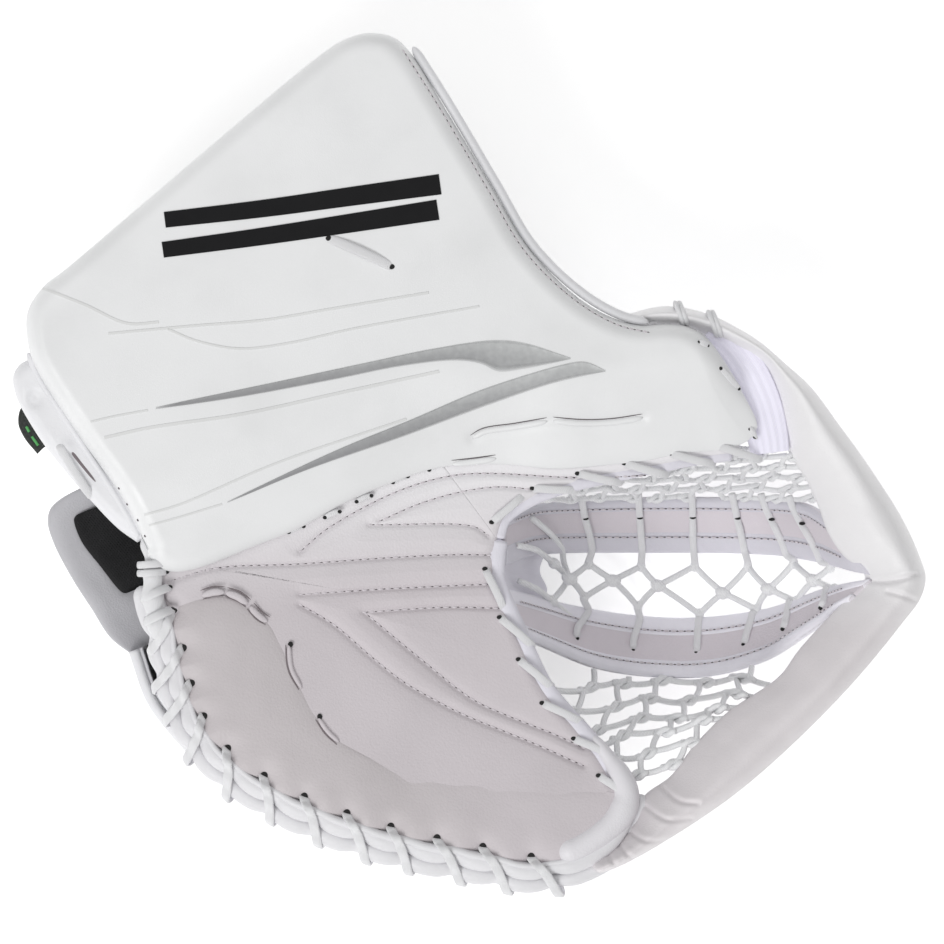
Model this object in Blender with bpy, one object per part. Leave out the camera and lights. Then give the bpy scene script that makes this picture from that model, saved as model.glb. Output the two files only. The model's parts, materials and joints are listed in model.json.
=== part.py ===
"""Ice hockey goalie catch glove, lying on its back with the palm face up.

Drawing axes, in millimetres: +X runs from the wrist towards the tip of the
pocket rim, +Y from the fingers towards the end of the cuff, and +Z out of the
palm.  The floor is z = 0.  to_world() turns drawing millimetres into metres.
"""
import bpy
import bmesh
from math import cos, pi, sin, sqrt, tau
from mathutils import Matrix, Vector

# ---------------------------------------------------------------- dimensions
MM = 0.001
ORIGIN_X = -0.3
ORIGIN_Y = -3.2

FACE_Z = 80.0             # height of the palm face at the fold
FACE_RISE_X = 0.0002      # how fast the face rises towards cuff and tip
FACE_RISE_Y = 0.0005      # how fast it rises away from the fold
FOLD_Y = -51.0            # the glove closes about this line
FOLD_Z = 91.0             # height of the closing hinge's axis
SPLIT_GAP = 0.8           # gap between the two halves along the fold

CUFF_TOP = 16.0           # cuff board's top above the palm face
CUFF_EDGE_DROP = 3.5      # how far its rounded edge lies below the top
CUFF_SKIRT = 1.0          # its wall's lower edge above the palm face
SKIN = 1.6                # moulded skins' thickness
LEATHER = 2.4             # palm leather's thickness

ROLL_RADIUS = 3.6         # perimeter rolls
ROLLS = {                 # offset out from the palm's edge, height off the face
    "perimeter_roll_1": (3.6, -3.6),
    "perimeter_roll_2": (9.5, -8.2),
    "perimeter_roll_3": (6.0, -15.0),
}
LACE_RADIUS = 1.5
LACE_TURNS = 15
LACE_STEPS = 10           # points in one turn of the lace
LACE_HALF_WIDTH = 10.1    # the lace's turn round the rolls
LACE_HALF_HEIGHT = 12.8
LACE_CENTRE = (6.2, -9.0)

BINDING_RADIUS = 2.6
CORNER_ROLL_RADIUS = 5.5
PIPING_RADIUS = 1.6

RIM_TOP = 1.0             # rim's top above the palm face
RIM_SKIRT = -20.0
RIM_EDGE_DROP = 3.0

STRAP_THICKNESS = 4.0     # the pocket's two straps
NET_THICKNESS = 4.0       # net cord's diameter
NET_CLEARANCE = 1.5       # between a net and what it is laced to

STALL_RADIUS = 11.0
STALL_WALL = 1.6
STALL_Z = 46.0
STALLS = {                # x, then the y of the closed end
    "finger_stall_1": (-76.0, -126.0),
    "finger_stall_2": (-51.0, -137.0),
    "finger_stall_3": (-26.0, -142.0),
    "finger_stall_4": (-1.0, -141.0),
}
STALL_MOUTH_Y = -84.0
THUMB_STALL_RADIUS = 13.0
THUMB_STALL_CENTRE = (30.0, 60.0)       # y, z
THUMB_STALL_SPAN = (30.0, 90.0)         # x of its mouth and of its tip
THUMB_GUARD_RADIUS = 18.0               # the guard behind the thumb
THUMB_GUARD_RISE = 15.0                 # height of its straight sides

STRAP_ORIGIN = (-120.0, 50.0)           # middle of the wrist strap
STRAP_ALONG = (0.917, 0.399)            # the strap's direction across the wrist
STRAP_WIDTH = 50.0
STRAP_HINGE_S = 62.0                    # sewn end, along the strap
STRAP_HINGE_Z = 74.0
WRIST_STRAP_THICKNESS = 3.0

FLAP_SEAM = ((-138.0, -72.0), (-103.0, -15.0))
FLAP_Z = 46.0

# ------------------------------------------------------------------ outlines
CUFF_UPPER = [
    (-142, -38), (-153.6, -15), (-171.6, 11), (-192, 44), (-194, 58), (-193, 68),
    (-187, 76), (-57, 183.5), (-43, 187), (-33, 185), (-25.5, 178), (-11, 155), (9, 122),
    (26, 94), (48, 72), (66, 62), (77, 58), (92, 56), (103, 51), (108, 46), (112, 38),
    (119, 27), (124, 20), (125, 15),
]
CUFF_LOWER = [
    (-140, -41), (-132, -48.5), (-119, -46), (-97, -37), (-75, -29), (-57, -18.5),
    (-34, -8), (-14, -2), (13, -1), (38, -5), (59, -2), (77, 1), (95, 5), (112, 7),
    (122, 11),
]
LINER_UPPER = [(-166, 18), (-183, 50), (-180, 66), (-120, 116), (-60, 166), (-44, 172)]
LINER_LOWER = [(-150, 14), (-110, 14), (-60, 16), (-20, 30), (0, 60), (-14, 120), (-36, 168)]
PALM_THUMB_UPPER = [
    (-112, -45.8), (-97, -40), (-75, -32), (-57, -21.5), (-34, -11), (-14, -5), (8, -4.5),
    (22, -7),
]
PALM_THUMB_LOWER = [(-112, FOLD_Y + SPLIT_GAP / 2), (8, FOLD_Y + SPLIT_GAP / 2)]
PALM_EDGE = [
    (-136, -54), (-135, -65), (-132, -83), (-128, -100), (-121, -117), (-109, -132),
    (-93, -144), (-75, -154), (-55, -162), (-35, -168), (-14.5, -173), (6, -175.6),
    (20, -176.6),
]
PALM_INNER_EDGE = [
    (-127, -51.5), (-60, -51.5), (-12, -51.8), (2, -54), (10, -65), (19, -83), (28, -101),
    (47, -124.5), (57, -141),
]
PALM_OUTER_EDGE = [
    (-129.5, -54), (-128.5, -65), (-125.6, -82), (-121.8, -98), (-115.3, -113.8),
    (-104.5, -127), (-89.5, -138.4), (-72.2, -148), (-53, -155.8), (-33.4, -161.6),
    (-13, -166.6), (6.5, -169.1), (28, -170), (42, -166), (54, -158), (60, -149),
]
FINGER_PAD_INNER = [
    (-126, -66), (-118, -61), (-92, -59), (-75, -83), (-64, -113), (-31, -133), (38, -143),
    (54, -145),
]
BACK_TOP_EDGE = [
    (-150, -84), (-142, -106), (-130, -122), (-118, -134), (-103, -145), (-80, -156),
    (-50, -165), (-20, -172), (10, -174), (34, -171),
]
POCKET_EDGE = [(11, -54), (16, -65), (24, -83), (33, -101), (53, -124.5), (62, -140)]
THUMB_POCKET_EDGE = [(24, -19), (38, -13), (59, -8.5), (77, -5), (95, -1), (112, 1.5)]
RIM_OUTER_THUMB = [
    (84, 68), (104, 66), (119, 59), (128.5, 53), (139, 44), (151, 33), (163, 17), (178, -4),
    (191, -25.5), (198.4, -43), (201, -50.6),
]
RIM_INNER_THUMB = [
    (83, 60), (101, 57), (119, 49), (128.5, 44), (135, 32), (139, 14), (143, 4), (150.5, -8),
    (154, -17), (167, -37), (176, -50.6),
]
RIM_OUTER_FINGER = [
    (201, -51.4), (198.4, -59), (191, -70), (172, -95), (145, -123), (118, -146.5),
    (91, -165), (66, -179), (58, -182),
]
RIM_INNER_FINGER = [
    (176, -51.4), (164, -63), (145, -83), (137, -95), (112, -111), (99, -126), (91, -138),
    (79, -147), (77, -154), (69, -166), (55, -176),
]
CORNER_ROLL = [(68, -139), (70, -146), (67, -154), (60, -161.5), (49, -168.5), (39, -173)]
SIDE_STRIP = [(-196.5, 40), (-193, 26), (-185, 11), (-175, -4), (-164.5, -17), (-153, -30)]
WEBBING = [(104, 44), (112, 40), (120, 30), (125, 19), (129, 6)]

# the pocket's strap edges: x, y and height off the floor
STRAP_1_UPPER = [
    (22, -24, 74), (32, -19, 46), (50, -17, 26), (80, -16, 18), (110, -16, 18),
    (136, -17, 26), (151, -27, 50), (160, -40, 72),
]
STRAP_1_LOWER = [
    (20, -46, 74), (30, -42, 42), (50, -41, 15), (80, -41, 4), (110, -41, 4),
    (138, -42, 12), (156, -44, 40), (164, -47, 68),
]
STRAP_2_UPPER = [
    (20, -56, 74), (30, -60, 42), (50, -66, 15), (80, -70.5, 4), (105, -71, 4),
    (135, -67, 12), (156, -58, 40), (164, -55, 68),
]
STRAP_2_LOWER = [
    (27, -76, 74), (38, -84, 48), (57, -93, 28), (80, -97, 20), (108, -97, 20),
    (132, -90, 28), (146, -76, 52), (156, -65, 72),
]

# --------------------------------------------------------------- materials
COLOURS = {               # red, green, blue, roughness
    "white_board": (0.90, 0.90, 0.90, 0.42),
    "white_leather": (0.88, 0.87, 0.88, 0.50),
    "palm_leather": (0.82, 0.78, 0.80, 0.55),
    "webbing": (0.80, 0.79, 0.88, 0.80),
    "lace": (0.86, 0.86, 0.88, 0.70),
    "net": (0.84, 0.85, 0.85, 0.65),
    "foam": (0.30, 0.30, 0.32, 0.90),
    "board": (0.12, 0.12, 0.13, 0.50),
    "black_liner": (0.02, 0.02, 0.02, 0.90),
    "black_tab": (0.02, 0.02, 0.02, 0.60),
}


def make_material(name):
    """A Principled material for one finish."""
    red, green, blue, roughness = COLOURS[name]
    material = bpy.data.materials.new(name)
    material.use_nodes = True
    shader = material.node_tree.nodes["Principled BSDF"]
    shader.inputs["Base Color"].default_value = (red, green, blue, 1.0)
    shader.inputs["Roughness"].default_value = roughness
    shader.inputs["Metallic"].default_value = 0.0
    return material


# ---------------------------------------------------------------- geometry
def face_height(x, y):
    """Height of the palm face over the floor."""
    return FACE_Z + FACE_RISE_X * (x + 10.0) ** 2 + FACE_RISE_Y * (y - FOLD_Y) ** 2


def to_world(point):
    """Drawing millimetres to metres about the part's origin."""
    x, y, z = point
    return ((x - ORIGIN_X) * MM, (y - ORIGIN_Y) * MM, z * MM)


def spline_point(a, b, c, d, share):
    """A point between b and c on the smooth curve through all four."""
    t1 = sqrt((b - a).length)
    t2 = t1 + sqrt((c - b).length)
    t3 = t2 + sqrt((d - c).length)
    t = t1 + (t2 - t1) * share
    ab = a.lerp(b, t / t1)
    bc = b.lerp(c, (t - t1) / (t2 - t1))
    cd = c.lerp(d, (t - t2) / (t3 - t2))
    return ab.lerp(bc, t / t2).lerp(bc.lerp(cd, (t - t1) / (t3 - t1)), share)


def curve_through(points, count):
    """A smooth curve through the points, as count evenly spaced points."""
    pts = [Vector(p) for p in points]
    ends = [2 * pts[0] - pts[1]] + pts + [2 * pts[-1] - pts[-2]]
    fine = []
    for i in range(1, len(ends) - 2):
        fine += [spline_point(*ends[i - 1:i + 3], step / 12) for step in range(12)]
    fine.append(pts[-1])
    along = [0.0]
    for p, q in zip(fine, fine[1:]):
        along.append(along[-1] + (q - p).length)
    result = []
    k = 0
    for i in range(count):
        want = along[-1] * i / (count - 1)
        while k < len(fine) - 2 and along[k + 1] < want:
            k += 1
        part = (want - along[k]) / (along[k + 1] - along[k])
        result.append(fine[k].lerp(fine[k + 1], min(part, 1.0)))
    return result


def inset_curves(lower, upper, distance):
    """Both curves of an outline, moved inwards by distance."""
    loop = lower + upper[::-1]
    count = len(loop)
    area = sum(
        loop[i].x * loop[(i + 1) % count].y - loop[(i + 1) % count].x * loop[i].y
        for i in range(count)
    )
    side = 1.0 if area > 0 else -1.0
    moved = []
    for i, point in enumerate(loop):
        back = (point - loop[i - 1]).normalized()
        ahead = (loop[(i + 1) % count] - point).normalized()
        normal = Vector((-back.y - ahead.y, back.x + ahead.x)) * side
        half_cosine = max(normal.length / 2, 0.5)
        moved.append(point + normal.normalized() * (distance / half_cosine))
    return moved[:len(lower)], moved[len(lower):][::-1]


def outline_grid(lower, upper, columns, rows, inset=0.0):
    """Rows of 2-D points that fill the outline between two curves."""
    low = curve_through(lower, columns)
    high = curve_through(upper, columns)
    if inset:
        low, high = inset_curves(low, high, inset)
    return [
        [low[i].lerp(high[i], j / (rows - 1)) for i in range(columns)] for j in range(rows)
    ]


def boundary(rows, columns):
    """Index of each grid point round the edge, in order."""
    ring = [(0, i) for i in range(columns)]
    ring += [(j, columns - 1) for j in range(1, rows)]
    ring += [(rows - 1, i) for i in range(columns - 2, -1, -1)]
    ring += [(j, 0) for j in range(rows - 2, 0, -1)]
    return ring


def lifted(grid, height, edge_drop=0.0):
    """The grid as 3-D points, its outermost ones lowered by edge_drop."""
    rows, columns = len(grid), len(grid[0])
    result = []
    for j, row in enumerate(grid):
        line = []
        for i, point in enumerate(row):
            on_edge = j in (0, rows - 1) or i in (0, columns - 1)
            drop = edge_drop if on_edge else 0.0
            line.append((point.x, point.y, height(point.x, point.y) - drop))
        result.append(line)
    return result


def add_object(name, mesh, finish, parent=None):
    """Link a finished piece into the scene, on its joint's empty if it has one."""
    piece = bpy.data.objects.new(name, mesh)
    bpy.context.scene.collection.objects.link(piece)
    mesh.materials.append(MATERIALS[finish])
    if parent:
        piece.parent = parent
        piece.matrix_parent_inverse = Matrix.Translation(-parent.location)
    return piece


def mesh_from(name, points, faces, smooth=True):
    """A mesh from drawing points and faces, its normals made to point out."""
    mesh = bpy.data.meshes.new(name)
    mesh.from_pydata([to_world(p) for p in points], [], faces)
    solid = bmesh.new()
    solid.from_mesh(mesh)
    bmesh.ops.recalc_face_normals(solid, faces=solid.faces)
    solid.to_mesh(mesh)
    solid.free()
    if smooth:
        mesh.shade_smooth()
        mesh.set_sharp_from_angle(angle=pi / 5)
    return mesh


def skin_faces(rows, columns, start, flip):
    """Quads of one grid whose points begin at index start."""
    faces = []
    for j in range(rows - 1):
        for i in range(columns - 1):
            a = start + j * columns + i
            quad = (a, a + 1, a + columns + 1, a + columns)
            faces.append(quad[::-1] if flip else quad)
    return faces


def band_faces(first, second):
    """Quads between two closed rings of indices."""
    count = len(first)
    return [
        (first[i], first[(i + 1) % count], second[(i + 1) % count], second[i])
        for i in range(count)
    ]


def solid_between(name, top, bottom, finish, parent=None):
    """A closed solid between an upper and a lower grid of 3-D points."""
    rows, columns = len(top), len(top[0])
    points = [p for row in top for p in row] + [p for row in bottom for p in row]
    size = rows * columns
    faces = skin_faces(rows, columns, 0, False) + skin_faces(rows, columns, size, True)
    ring = [j * columns + i for j, i in boundary(rows, columns)]
    faces += band_faces(ring, [size + k for k in ring])
    return add_object(name, mesh_from(name, points, faces), finish, parent)


def plate(name, lower, upper, columns, rows, base, top, finish, parent=None, inset=0.0,
          edge_drop=0.0):
    """A sheet that follows the palm face, between two heights off it."""
    grid = outline_grid(lower, upper, columns, rows, inset)
    high = lifted(grid, lambda x, y: face_height(x, y) + top, edge_drop)
    low = lifted(grid, lambda x, y: face_height(x, y) + base)
    return solid_between(name, high, low, finish, parent)


def tray(name, lower, upper, columns, rows, top, skirt, edge_drop, finish, parent=None):
    """A moulded cover: a top, a wall all round it, and an open underside."""
    outer = lifted(
        outline_grid(lower, upper, columns, rows),
        lambda x, y: face_height(x, y) + top, edge_drop,
    )
    inner = lifted(
        outline_grid(lower, upper, columns, rows, SKIN),
        lambda x, y: face_height(x, y) + top - SKIN, edge_drop,
    )
    points = [p for row in outer for p in row] + [p for row in inner for p in row]
    size = rows * columns
    ring = boundary(rows, columns)
    outer_ring = [j * columns + i for j, i in ring]
    inner_ring = [size + k for k in outer_ring]
    outer_foot = list(range(2 * size, 2 * size + len(ring)))
    inner_foot = list(range(2 * size + len(ring), 2 * size + 2 * len(ring)))
    for k in outer_ring + inner_ring:
        x, y, _ = points[k]
        points.append((x, y, face_height(x, y) + skirt))
    faces = skin_faces(rows, columns, 0, False) + skin_faces(rows, columns, size, True)
    faces += band_faces(outer_ring, outer_foot)
    faces += band_faces(outer_foot, inner_foot)
    faces += band_faces(inner_foot, inner_ring)
    return add_object(name, mesh_from(name, points, faces), finish, parent)


def ruled(edge_a, edge_b, columns, rows):
    """A grid of 3-D points between two space curves."""
    a = curve_through(edge_a, columns)
    b = curve_through(edge_b, columns)
    return [[a[i].lerp(b[i], j / (rows - 1)) for i in range(columns)] for j in range(rows)]


def thickened(grid, below, above):
    """Two grids, moved from the given one along its normal."""
    rows, columns = len(grid), len(grid[0])
    low, high = [], []
    for j in range(rows):
        low_row, high_row = [], []
        for i in range(columns):
            along = grid[j][min(i + 1, columns - 1)] - grid[j][max(i - 1, 0)]
            across = grid[min(j + 1, rows - 1)][i] - grid[max(j - 1, 0)][i]
            normal = along.cross(across).normalized()
            low_row.append(tuple(grid[j][i] + normal * below))
            high_row.append(tuple(grid[j][i] + normal * above))
        low.append(low_row)
        high.append(high_row)
    return high, low


def band(name, edge_a, edge_b, columns, rows, thickness, finish, parent=None):
    """A strap or a net: a curved sheet between two space curves."""
    grid = ruled(edge_a, edge_b, columns, rows)
    high, low = thickened(grid, -thickness / 2, thickness / 2)
    return solid_between(name, high, low, finish, parent)


def tube(name, points, radius, finish, parent=None, resolution=2):
    """A round cord or roll along the points, with closed ends."""
    curve = bpy.data.curves.new(name, "CURVE")
    curve.dimensions = "3D"
    curve.bevel_depth = radius * MM
    curve.bevel_resolution = resolution
    curve.use_fill_caps = True
    spline = curve.splines.new("POLY")
    spline.points.add(len(points) - 1)
    for spot, point in zip(spline.points, points):
        spot.co = (*to_world(point), 1.0)
    return add_object(name, curve, finish, parent)


def on_face(points, height):
    """2-D points as 3-D ones, at a height off the palm face."""
    return [(x, y, face_height(x, y) + height) for x, y in points]


def outward(curve, distance):
    """A 2-D curve moved to its right-hand side."""
    moved = []
    for i, point in enumerate(curve):
        along = (curve[min(i + 1, len(curve) - 1)] - curve[max(i - 1, 0)]).normalized()
        moved.append(Vector((point.x + along.y * distance, point.y - along.x * distance)))
    return moved


def hinge_empty(name, location):
    """An empty on a joint's axis, which the moving pieces hang on."""
    empty = bpy.data.objects.new(name, None)
    empty.location = to_world(location)
    bpy.context.scene.collection.objects.link(empty)
    return empty


# ------------------------------------------------------- cuff and thumb side
def make_cuff(parent):
    """The one-piece cuff and thumb board, with what is inside it."""
    columns, rows = 26, 7
    tray("cuff_face", CUFF_LOWER, CUFF_UPPER, columns, rows, CUFF_TOP, CUFF_SKIRT,
         CUFF_EDGE_DROP, "white_board", parent)
    plate("cuff_foam", CUFF_LOWER, CUFF_UPPER, columns, rows, 3.4, 13.4, "foam", parent,
          inset=3.2, edge_drop=CUFF_EDGE_DROP)
    plate("cuff_stiffener", CUFF_LOWER, CUFF_UPPER, columns, rows, 1.2, 2.8, "board", parent,
          inset=3.2)
    plate("cuff_liner", LINER_LOWER, LINER_UPPER, 9, 6, -8.0, 0.4, "black_liner", parent)
    plate("closure_patch", [(-184, 18), (-168, 6)], [(-180, 34), (-158, 24)], 3, 3, -11.0,
          -9.0, "black_liner", parent)
    make_side_strip(parent)
    edge = curve_through([(-26, 180), (-10, 155), (10, 121.5), (27, 93.5), (48.5, 73), (66, 63)], 18)
    tube("cuff_edge_piping", on_face([(p.x + 1.9, p.y + 1.2) for p in edge], 7.5),
         PIPING_RADIUS, "white_leather", parent)
    lace = [(-61.6, 97.7), (-52, 93.4), (-43, 89.2), (-34.3, 85.4)]
    tube("cuff_face_lace", on_face(lace, CUFF_TOP + LACE_RADIUS + 0.4), LACE_RADIUS, "lace",
         parent)


def make_side_strip(parent):
    """The padded strip along the cuff's outer side."""
    path = curve_through(SIDE_STRIP, 12)
    half_width, half_height = 5.2, 7.0
    left = [(p.x, p.y) for p in outward(path, -half_width)]
    right = [(p.x, p.y) for p in outward(path, half_width)]
    plate("cuff_side_strip", left, right, 12, 4, -2.0 - half_height, -2.0 + half_height,
          "white_leather", parent, edge_drop=2.5)


def make_thumb_side(parent):
    """Palm leather, padding, stall and rim on the thumb's side of the fold."""
    plate("palm_skin_thumb", PALM_THUMB_LOWER, PALM_THUMB_UPPER, 10, 4, -0.4 - LEATHER, -0.4,
          "palm_leather", parent)
    plate("palm_padding_thumb", PALM_THUMB_LOWER, PALM_THUMB_UPPER, 10, 4, -9.0, -3.2,
          "foam", parent, inset=2.5)
    tube("thumb_pocket_binding", on_face(curve_through(THUMB_POCKET_EDGE, 12), -4.0),
         BINDING_RADIUS, "white_leather", parent)
    rim_half("thumb", RIM_INNER_THUMB, RIM_OUTER_THUMB, parent)
    webbing = curve_through(WEBBING, 10)
    edges = [[(*p, face_height(*p) - 6.0) for p in outward(webbing, side)] for side in (-5.5, 5.5)]
    band("rim_webbing_strap", *edges, 10, 2, 2.0, "webbing", parent)
    for number, ends in enumerate((((97, 74.5), (93, 52.5)), ((112, 69.5), (102, 50))), 1):
        start, end = (Vector(p) for p in ends)
        height = face_height(*start) + CUFF_TOP + 2.2
        path = [(*start, height - 14), (*start.lerp(end, 0.12), height - 4.5),
                (*start.lerp(end, 0.5), height), (*end, height)]
        tube(f"rim_tie_lace_{number}", curve_through(path, 8), LACE_RADIUS, "lace", parent)
    make_thumb_stall(parent)


def rim_half(side, inner, outer, parent=None):
    """One half of the pocket rim: its leather cover and the foam inside."""
    tray(f"rim_{side}_cover", inner, outer, 14, 4, RIM_TOP, RIM_SKIRT, RIM_EDGE_DROP,
         "white_leather", parent)
    plate(f"rim_{side}_core", inner, outer, 14, 4, -18.0, -1.6, "foam", parent, inset=3.2,
          edge_drop=RIM_EDGE_DROP)


def stall(name, radius, start, end, parent=None):
    """A glove finger from start to end: a tube with an open mouth and a round tip."""
    sides = 12
    direction = (end - start).normalized()
    across = direction.cross(Vector((0, 0, 1))).normalized()
    up = across.cross(direction)
    length = (end - start).length
    inner = radius - STALL_WALL
    profile = [                     # distance along the stall, radius
        (0.0, radius), (length - radius * 0.6, radius), (length - radius * 0.15, radius * 0.7),
        (length, radius * 0.3), (length - STALL_WALL, inner * 0.3),
        (length - radius * 0.15 - STALL_WALL, inner * 0.7),
        (length - radius * 0.6, inner), (0.0, inner),
    ]
    points = []
    for along, ring_radius in profile:
        for k in range(sides):
            turn = tau * k / sides
            points.append(tuple(
                start + direction * along
                + across * (cos(turn) * ring_radius) + up * (sin(turn) * ring_radius)
            ))
    rings = [list(range(n * sides, (n + 1) * sides)) for n in range(len(profile))]
    faces = [rings[3][::-1], rings[4]]
    for first, second in ((0, 1), (1, 2), (2, 3), (4, 5), (5, 6), (6, 7), (7, 0)):
        faces += band_faces(rings[first], rings[second])
    add_object(name, mesh_from(name, points, faces), "black_liner", parent)


def make_thumb_stall(parent):
    """The thumb's stall, along X under the thumb board, and the guard behind it."""
    y, z = THUMB_STALL_CENTRE
    start = Vector((THUMB_STALL_SPAN[0], y, z))
    end = Vector((THUMB_STALL_SPAN[1], y, z))
    stall("thumb_stall", THUMB_STALL_RADIUS, start, end, parent)
    columns, bends = 6, 8
    grid = []
    for j in range(bends + 3):
        line = []
        for i in range(columns):
            share = i / (columns - 1)
            radius = THUMB_GUARD_RADIUS - 2.0 * share
            x = THUMB_STALL_SPAN[0] - 6.0 + (THUMB_STALL_SPAN[1] + 5.0 - THUMB_STALL_SPAN[0]) * share
            turn = pi * min(max(j - 1, 0), bends) / bends
            rise = THUMB_GUARD_RISE if j in (0, bends + 2) else 0.0
            line.append(Vector((x, y - radius * cos(turn), z - radius * sin(turn) + rise)))
        grid.append(line)
    high, low = thickened(grid, 0.0, 2.2)
    solid_between("thumb_guard", high, low, "white_leather", parent)


# ------------------------------------------------------------------- pocket
def narrowed(edge_a, edge_b, gap):
    """Two space curves drawn towards each other by gap."""
    count = 16
    a, b = curve_through(edge_a, count), curve_through(edge_b, count)
    shift = [(q - p).normalized() * gap for p, q in zip(a, b)]
    return [p + s for p, s in zip(a, shift)], [q - s for q, s in zip(b, shift)]


def make_pocket(pocket, thumb):
    """The two pocket straps and the three nets between them and the edges."""
    columns = 14
    band("pocket_strap_upper", STRAP_1_UPPER, STRAP_1_LOWER, columns, 3, STRAP_THICKNESS,
         "white_leather", pocket)
    band("pocket_strap_lower", STRAP_2_UPPER, STRAP_2_LOWER, columns, 3, STRAP_THICKNESS,
         "white_leather", pocket)
    middle = narrowed(STRAP_1_LOWER, STRAP_2_UPPER, NET_CLEARANCE)
    band("pocket_net_middle", *middle, columns, 3, NET_THICKNESS * 0.7, "net", pocket)
    thumb_edge = [(30, -20, 72), (50, -13, 70), (77, -7, 70), (103, -2, 72), (128, 0, 74),
                  (141, -5, 74), (150, -20, 74), (158, -34, 76)]
    upper = narrowed(thumb_edge, STRAP_1_UPPER, NET_CLEARANCE + 1.5)
    band("pocket_net_upper", *upper, columns, 3, NET_THICKNESS * 0.7, "net", thumb)
    finger_edge = [(29, -80, 76), (36, -96, 74), (56, -120, 74), (68, -133, 74), (88, -130, 74),
                   (103, -112, 74), (130, -92, 74), (150, -70, 76)]
    lower = narrowed(finger_edge, STRAP_2_LOWER, NET_CLEARANCE + 1.5)
    band("pocket_net_lower", *lower, columns, 3, NET_THICKNESS * 0.7, "net")


# -------------------------------------------------------------- finger side
def make_finger_side():
    """Palm leather, padding, finger pad and rim on the fingers' side."""
    plate("palm_skin", PALM_OUTER_EDGE, PALM_INNER_EDGE, 16, 6, -0.4 - LEATHER, -0.4,
          "palm_leather")
    plate("palm_padding", PALM_OUTER_EDGE, PALM_INNER_EDGE, 16, 6, -12.0, -3.2, "foam",
          inset=4.0)
    plate("palm_liner", PALM_OUTER_EDGE, PALM_INNER_EDGE, 12, 4, -14.0, -12.6, "black_liner",
          inset=7.0)
    plate("finger_pad", PALM_OUTER_EDGE, FINGER_PAD_INNER, 16, 5, 0.1, 5.0, "palm_leather",
          inset=0.6, edge_drop=2.0)
    tube("palm_pocket_binding", on_face(curve_through(POCKET_EDGE, 12), -4.0),
         BINDING_RADIUS, "white_leather")
    tube("palm_corner_roll", on_face(curve_through(CORNER_ROLL, 10), -3.0),
         CORNER_ROLL_RADIUS, "white_leather")
    rim_half("finger", RIM_INNER_FINGER, RIM_OUTER_FINGER)


def make_perimeter():
    """The three stacked rolls round the fingers and the lace that whips them."""
    edge = curve_through(PALM_EDGE, 28)
    for name, (distance, height) in ROLLS.items():
        rolled = outward(edge, distance)
        tube(name, on_face(rolled, height), ROLL_RADIUS, "white_leather")
    count = LACE_TURNS * LACE_STEPS + 1
    route = curve_through(PALM_EDGE, count)
    sideways = [a - b for a, b in zip(outward(route, 1.0), route)]
    points = []
    for i in range(4, count - 4):
        turn = tau * i / LACE_STEPS
        distance = LACE_CENTRE[0] + LACE_HALF_WIDTH * cos(turn)
        height = LACE_CENTRE[1] + LACE_HALF_HEIGHT * sin(turn)
        spot = route[i] + sideways[i] * distance
        points.append((spot.x, spot.y, face_height(*route[i]) + height))
    tube("perimeter_lace", points, LACE_RADIUS, "lace")


def back_surface(columns, rows, lift, inset):
    """The back of the hand's cover as a grid: flat below, rising to the rolls."""
    top_edge = outward(curve_through(BACK_TOP_EDGE, columns), -inset)
    grid = []
    rise_span = 34.0
    for j in range(rows):
        line = []
        for i in range(columns):
            start = Vector((-106.0 + 112.0 * i / (columns - 1), 6.0))
            top = top_edge[i]
            reach = (top - start).length
            flat = 1.0 - rise_span / reach
            flat_rows = 3
            if j <= flat_rows:
                share = flat * j / flat_rows
                height = 0.0
            else:
                turn = (pi / 2) * (j - flat_rows) / (rows - 1 - flat_rows)
                share = flat + (1.0 - flat) * sin(turn)
                height = (face_height(*top) - 26.0 - lift) * (1.0 - cos(turn))
            spot = start.lerp(top, share)
            line.append(Vector((spot.x, spot.y, height + lift)))
        grid.append(line)
    return grid


def make_back():
    """The back of the hand: outer cover, foam, finger stalls and hand strap."""
    cover = back_surface(13, 9, 0.0, 0.0)
    high, low = thickened(cover, 0.0, -2.6)
    solid_between("backhand_cover", high, low, "white_leather")
    foam = back_surface(13, 9, 3.2, 5.0)
    high, low = thickened(foam, 0.0, -7.0)
    solid_between("backhand_foam", high, low, "foam")
    for name, (x, end_y) in STALLS.items():
        stall(name, STALL_RADIUS, Vector((x, STALL_MOUTH_Y, STALL_Z)),
              Vector((x, end_y, STALL_Z)))
    strap_left = [(-92, -78, 13), (-92, -60, 16), (-92, -36, 18), (-92, -14, 16), (-92, -2, 13)]
    strap_right = [(x + 30, y, z) for x, y, z in strap_left]
    band("hand_strap", strap_right, strap_left, 7, 2, 2.0, "black_liner")


# --------------------------------------------------- wrist flap and its strap
def flap_grid(columns, rows, lift, inset):
    """The wrist flap, from its seam to its rounded outer edge."""
    seam = [Vector((*FLAP_SEAM[0], 0)), Vector((*FLAP_SEAM[1], 0))]
    outer = curve_through(
        [(-155, -76), (-163, -69), (-176, -52), (-186, -32), (-185, -22), (-172, -11)],
        columns,
    )
    low = [Vector((*seam[0].lerp(seam[1], i / (columns - 1)).xy,)) for i in range(columns)]
    if inset:
        low, outer = inset_curves(low, outer, inset)
    grid = []
    for j in range(rows):
        share = j / (rows - 1)
        line = []
        for i in range(columns):
            spot = low[i].lerp(outer[i], share)
            line.append(Vector((spot.x, spot.y, FLAP_Z + lift + 10.0 * share * share)))
        grid.append(line)
    return grid


def make_wrist_flap(parent):
    """The flap that closes the wrist opening, leather outside, liner inside."""
    for name, lift, inset, thickness, finish in (
        ("wrist_flap_cover", 0.0, 0.0, 2.4, "white_leather"),
        ("wrist_flap_liner", 3.3, 5.0, 3.6, "black_liner"),
    ):
        grid = flap_grid(9, 4, lift, inset)
        high, low = thickened(grid, 0.0, thickness)
        solid_between(name, high, low, finish, parent)


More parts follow.
